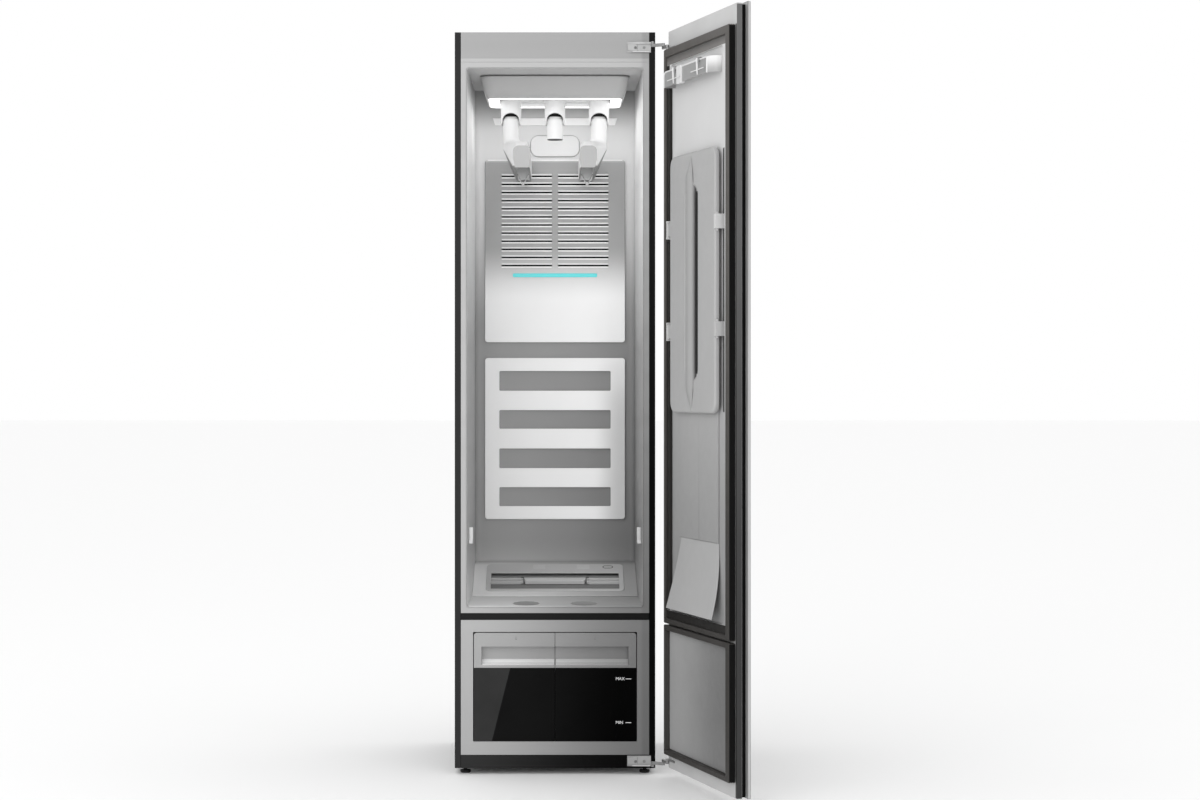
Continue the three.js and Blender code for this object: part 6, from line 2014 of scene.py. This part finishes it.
@dataclass
class PressClips:
    """Rounded hooks that hold the press plate on its free side, and covers on its hinge side."""

    setting: Setting
    lows: tuple[float, ...] = KNUCKLE_LOWS
    face: float = 6.5
    foot: float = 0.0
    inner: float = -161.2
    outer: float = -167.5
    swell_reach: float = 1.5
    swell_rise: float = 3.5
    swells: tuple[Point2, ...] = (
        (-5, 0.0), (-2, 0.55), (3, 0.9), (10, 1.0), (24, 1.0), (31, 0.9), (36, 0.55), (39, 0.0))
    cover_span: Point2 = (-204.0, -192.4)
    cover_rises: Point2 = (-4.0, 38.0)
    cover_depths: Point2 = (-12.0, 4.0)

    def hook_row(self, height: float, swell: float) -> list[Point3]:
        """A hook's section at a height, fuller where its swell is nearer to one.

        Args:
            height: The height.
            swell: The swell, 0 to 1.

        Returns:
            The section's points.
        """
        reach = self.face - self.swell_rise * (1 - swell)
        end = self.outer - self.swell_reach * swell
        return [(x, y, height) for x, y in (
            (end, self.foot), (self.inner, self.foot), (self.inner, reach - 3.0), (self.inner, reach - 0.8),
            (self.inner - 1.0, reach), (end + 2.0, reach), (end, reach - 2.0))]

    def build(self) -> None:
        """Builds two hooks and two covers."""
        (left, right), (low_rise, high_rise) = self.cover_span, self.cover_rises
        for index, low in enumerate(self.lows):
            hook = Skin(self.setting.door)
            hook.stack([self.hook_row(low + rise, swell) for rise, swell in self.swells])
            hook.piece(f"press_clip_free_{index + 1}", "clip_light", Body.DOOR, edge=0.8, slot="liner_grey")
            outline = rounded((left, low + low_rise), (right, low + high_rise), 5.0)
            cover = plate(self.setting.door.facing_in(), outline, *self.cover_depths)
            cover.piece(f"press_clip_hinge_{index + 1}", "clip_light", Body.DOOR, edge=1.6, steps=3,
                        slot="liner_grey")


@dataclass
class TrouserHanger:
    """The bar on the door that trousers hang from: a beaded band with a block, and two cross clips."""

    setting: Setting
    hinge_end: float = 186.0
    free_end: float = -130.0
    return_end: float = -156.0
    face: float = 15.0
    foot: float = -13.0
    low: float = 1697.5
    high: float = 1734.5
    wall: float = 2.2
    bead: float = 2.1
    bend: float = 12.0
    block_half: float = 17.0
    block_middle: float = 66.0
    clips: tuple[tuple[str, Body, float], ...] = (
        ("trouser_clip_hinge_side", Body.CLIP_A, 98.0), ("trouser_clip_free_side", Body.CLIP_B, -78.0))
    cross_half: float = 46.0
    cross_rise: float = 12.5
    cross_wire: float = 1.2
    saddle_half: float = 6.0
    blade_half: float = 1.0

    def board(self) -> Board:
        """The board on the door: x across towards the free side, y up and z out of the leaf."""
        return self.setting.door.facing_in()

    def build(self) -> None:
        """Builds the band, its beads, its return, the block and the clips."""
        self.add_band()
        self.add_beads()
        self.add_return()
        left, right = -self.block_middle - self.block_half, -self.block_middle + self.block_half
        outline = rounded((left, self.low - 3), (right, self.high + 3), 3.0)
        block = plate(self.board(), outline, self.face - 7, self.face + 3.6)
        block.piece("trouser_block", "bracket_light", Body.DOOR, edge=1.0, steps=3, slot="press_grey")
        for node, body, place in self.clips:
            self.add_clip(node, body, place)

    def add_band(self) -> None:
        """Adds the band with rounded upper corners, and the end that stands on the door."""
        left, right = -self.hinge_end, -self.free_end
        outline = [(left, self.low), (right, self.low), (right, self.high)]
        outline += arc((left + self.bend, self.high - self.bend), self.bend, 0.25, 0.5, 8)
        band = plate(self.board(), outline, self.face - self.wall, self.face)
        band.piece("trouser_band", "bracket_grey", Body.DOOR, edge=0.5, slot="press_grey",
                   node="trouser_bracket")
        stand = [(self.hinge_end, self.foot), (self.hinge_end, self.face),
                 (self.hinge_end - self.wall, self.face), (self.hinge_end - self.wall, self.foot)]
        end = plate(self.setting.door, stand, self.low, self.high - self.bend)
        end.piece("trouser_band_end", "bracket_grey", Body.DOOR, edge=0.5, slot="press_grey")

    def add_beads(self) -> None:
        """Adds the bead along the band's top and down both its ends, near-white: a painted highlight."""
        out = self.face - 0.4
        corner = arc((-self.hinge_end + self.bend, self.high - self.bend), self.bend, 0.5, 0.25, 8)
        around = [(-self.hinge_end, self.low)] + corner + [(-self.free_end, self.high)]
        down = [(-self.free_end, self.low), (-self.free_end, self.high)]
        for word, line in (("top", around), ("free", down)):
            bead = path_tube(self.setting.door, [(-x, out, z) for x, z in line], self.bead, (0, 1, 0))
            bead.piece(f"trouser_bead_{word}", "bracket_bright", Body.DOOR, slot="press_grey")

    def add_return(self) -> None:
        """Adds the curved return at the free end, paler at its top: painted light."""
        start, end, face = self.free_end, self.return_end, self.face
        bow = [(start, face), (start - 9, face - 1.6), (start - 17, face - 6), (start - 22.5, face - 13),
               (end + 0.6, face - 20), (end, self.foot)]
        inner = [(x + 1.6, y - 1.8) for x, y in bow]
        inner[0], inner[-1] = (start, face - self.wall), (end + self.wall, self.foot)
        bent = plate(self.setting.door, bow + inner[::-1], self.low, self.high + 1)
        bent.piece("trouser_return", "bracket_return", Body.DOOR, edge=0.5, slot="press_grey")

    def add_clip(self, node: str, body: Body, place: float) -> None:
        """Adds a clip: a saddle that passes over the block, a leaning blade and a cross bar.

        Args:
            node: The frame node that it stands for.
            body: The body that it rides on.
            place: Its place along the bar.
        """
        door, face, low, high = self.setting.door, self.face, self.low, self.high
        top = high + 2.6
        profile = [(face - 9.2, high - 12), (face - 9.2, top + 2.6), (face + 5.6, top + 2.6),
                   (face + 5.6, high - 9), (face + 4.2, high - 9), (face + 4.2, top + 1.1),
                   (face - 7.7, top + 1.1), (face - 7.7, high - 12)]
        saddle = beam(door, profile, place - self.saddle_half, place + self.saddle_half)
        saddle.piece(f"{node}_saddle", "bracket_grey", body, edge=0.5, slot="press_grey", node=node)
        profile = [(face + 5.2, top), (face + 9.2, top), (face + 8.4, low + 18), (face + 6.6, low + 1),
                   (face + 4.3, low + 1), (face + 4.4, low + 18)]
        blade = beam(door, profile, place - self.blade_half, place + self.blade_half)
        blade.piece(f"{node}_blade", "bracket_bright", body, edge=0.4, slot="press_grey")
        line = [(place + across, face + 5.6, low + self.cross_rise)
                for across in (-self.cross_half, self.cross_half)]
        bar = path_tube(door, line, self.cross_wire, (0, 0, 1))
        bar.piece(f"{node}_cross_bar", "bracket_bright", body, slot="press_grey")


def main() -> None:
    """Builds the scene in order."""
    logging.basicConfig(level=logging.INFO, format="%(message)s")
    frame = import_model()
    studio = Studio()
    studio.set_camera()
    studio.light_sky()
    studio.light_lamps()
    studio.lay_floor()
    setting = read_setting(frame)
    FrameNodes(setting).dress()
    AirHead(setting).build()
    for node, middle in (("nozzle_collar_left", -114.6), ("nozzle_collar_center", 0.0),
                         ("nozzle_collar_right", 114.6)):
        Collar(setting, node, middle).build()
    AirHanger(setting, "air_hanger_left", -1, Body.HANGER_LEFT).build()
    AirHanger(setting, "air_hanger_right", 1, Body.HANGER_RIGHT).build()
    CentreNozzle(setting).build()
    cover = FilterCover(setting)
    cover.build()
    ConsoleMarks(cover).build()
    TankMarks(setting).build()
    HingeDetails(setting).build()
    for name, body, middle in (("foot_front_left", Body.FOOT_FL, (-224.0, 34.0)),
                               ("foot_front_right", Body.FOOT_FR, (224.0, 34.0)),
                               ("foot_rear_left", Body.FOOT_RL, (-224.0, 520.0)),
                               ("foot_rear_right", Body.FOOT_RR, (224.0, 520.0))):
        Foot(setting, name, body, middle).build()
    SmallParts(setting).build()
    BackWall(setting).build()
    DoorTrim(setting).build()
    PressPlate(setting).build()
    PressClips(setting).build()
    TrouserHanger(setting).build()


if __name__ == "__main__":
    main()
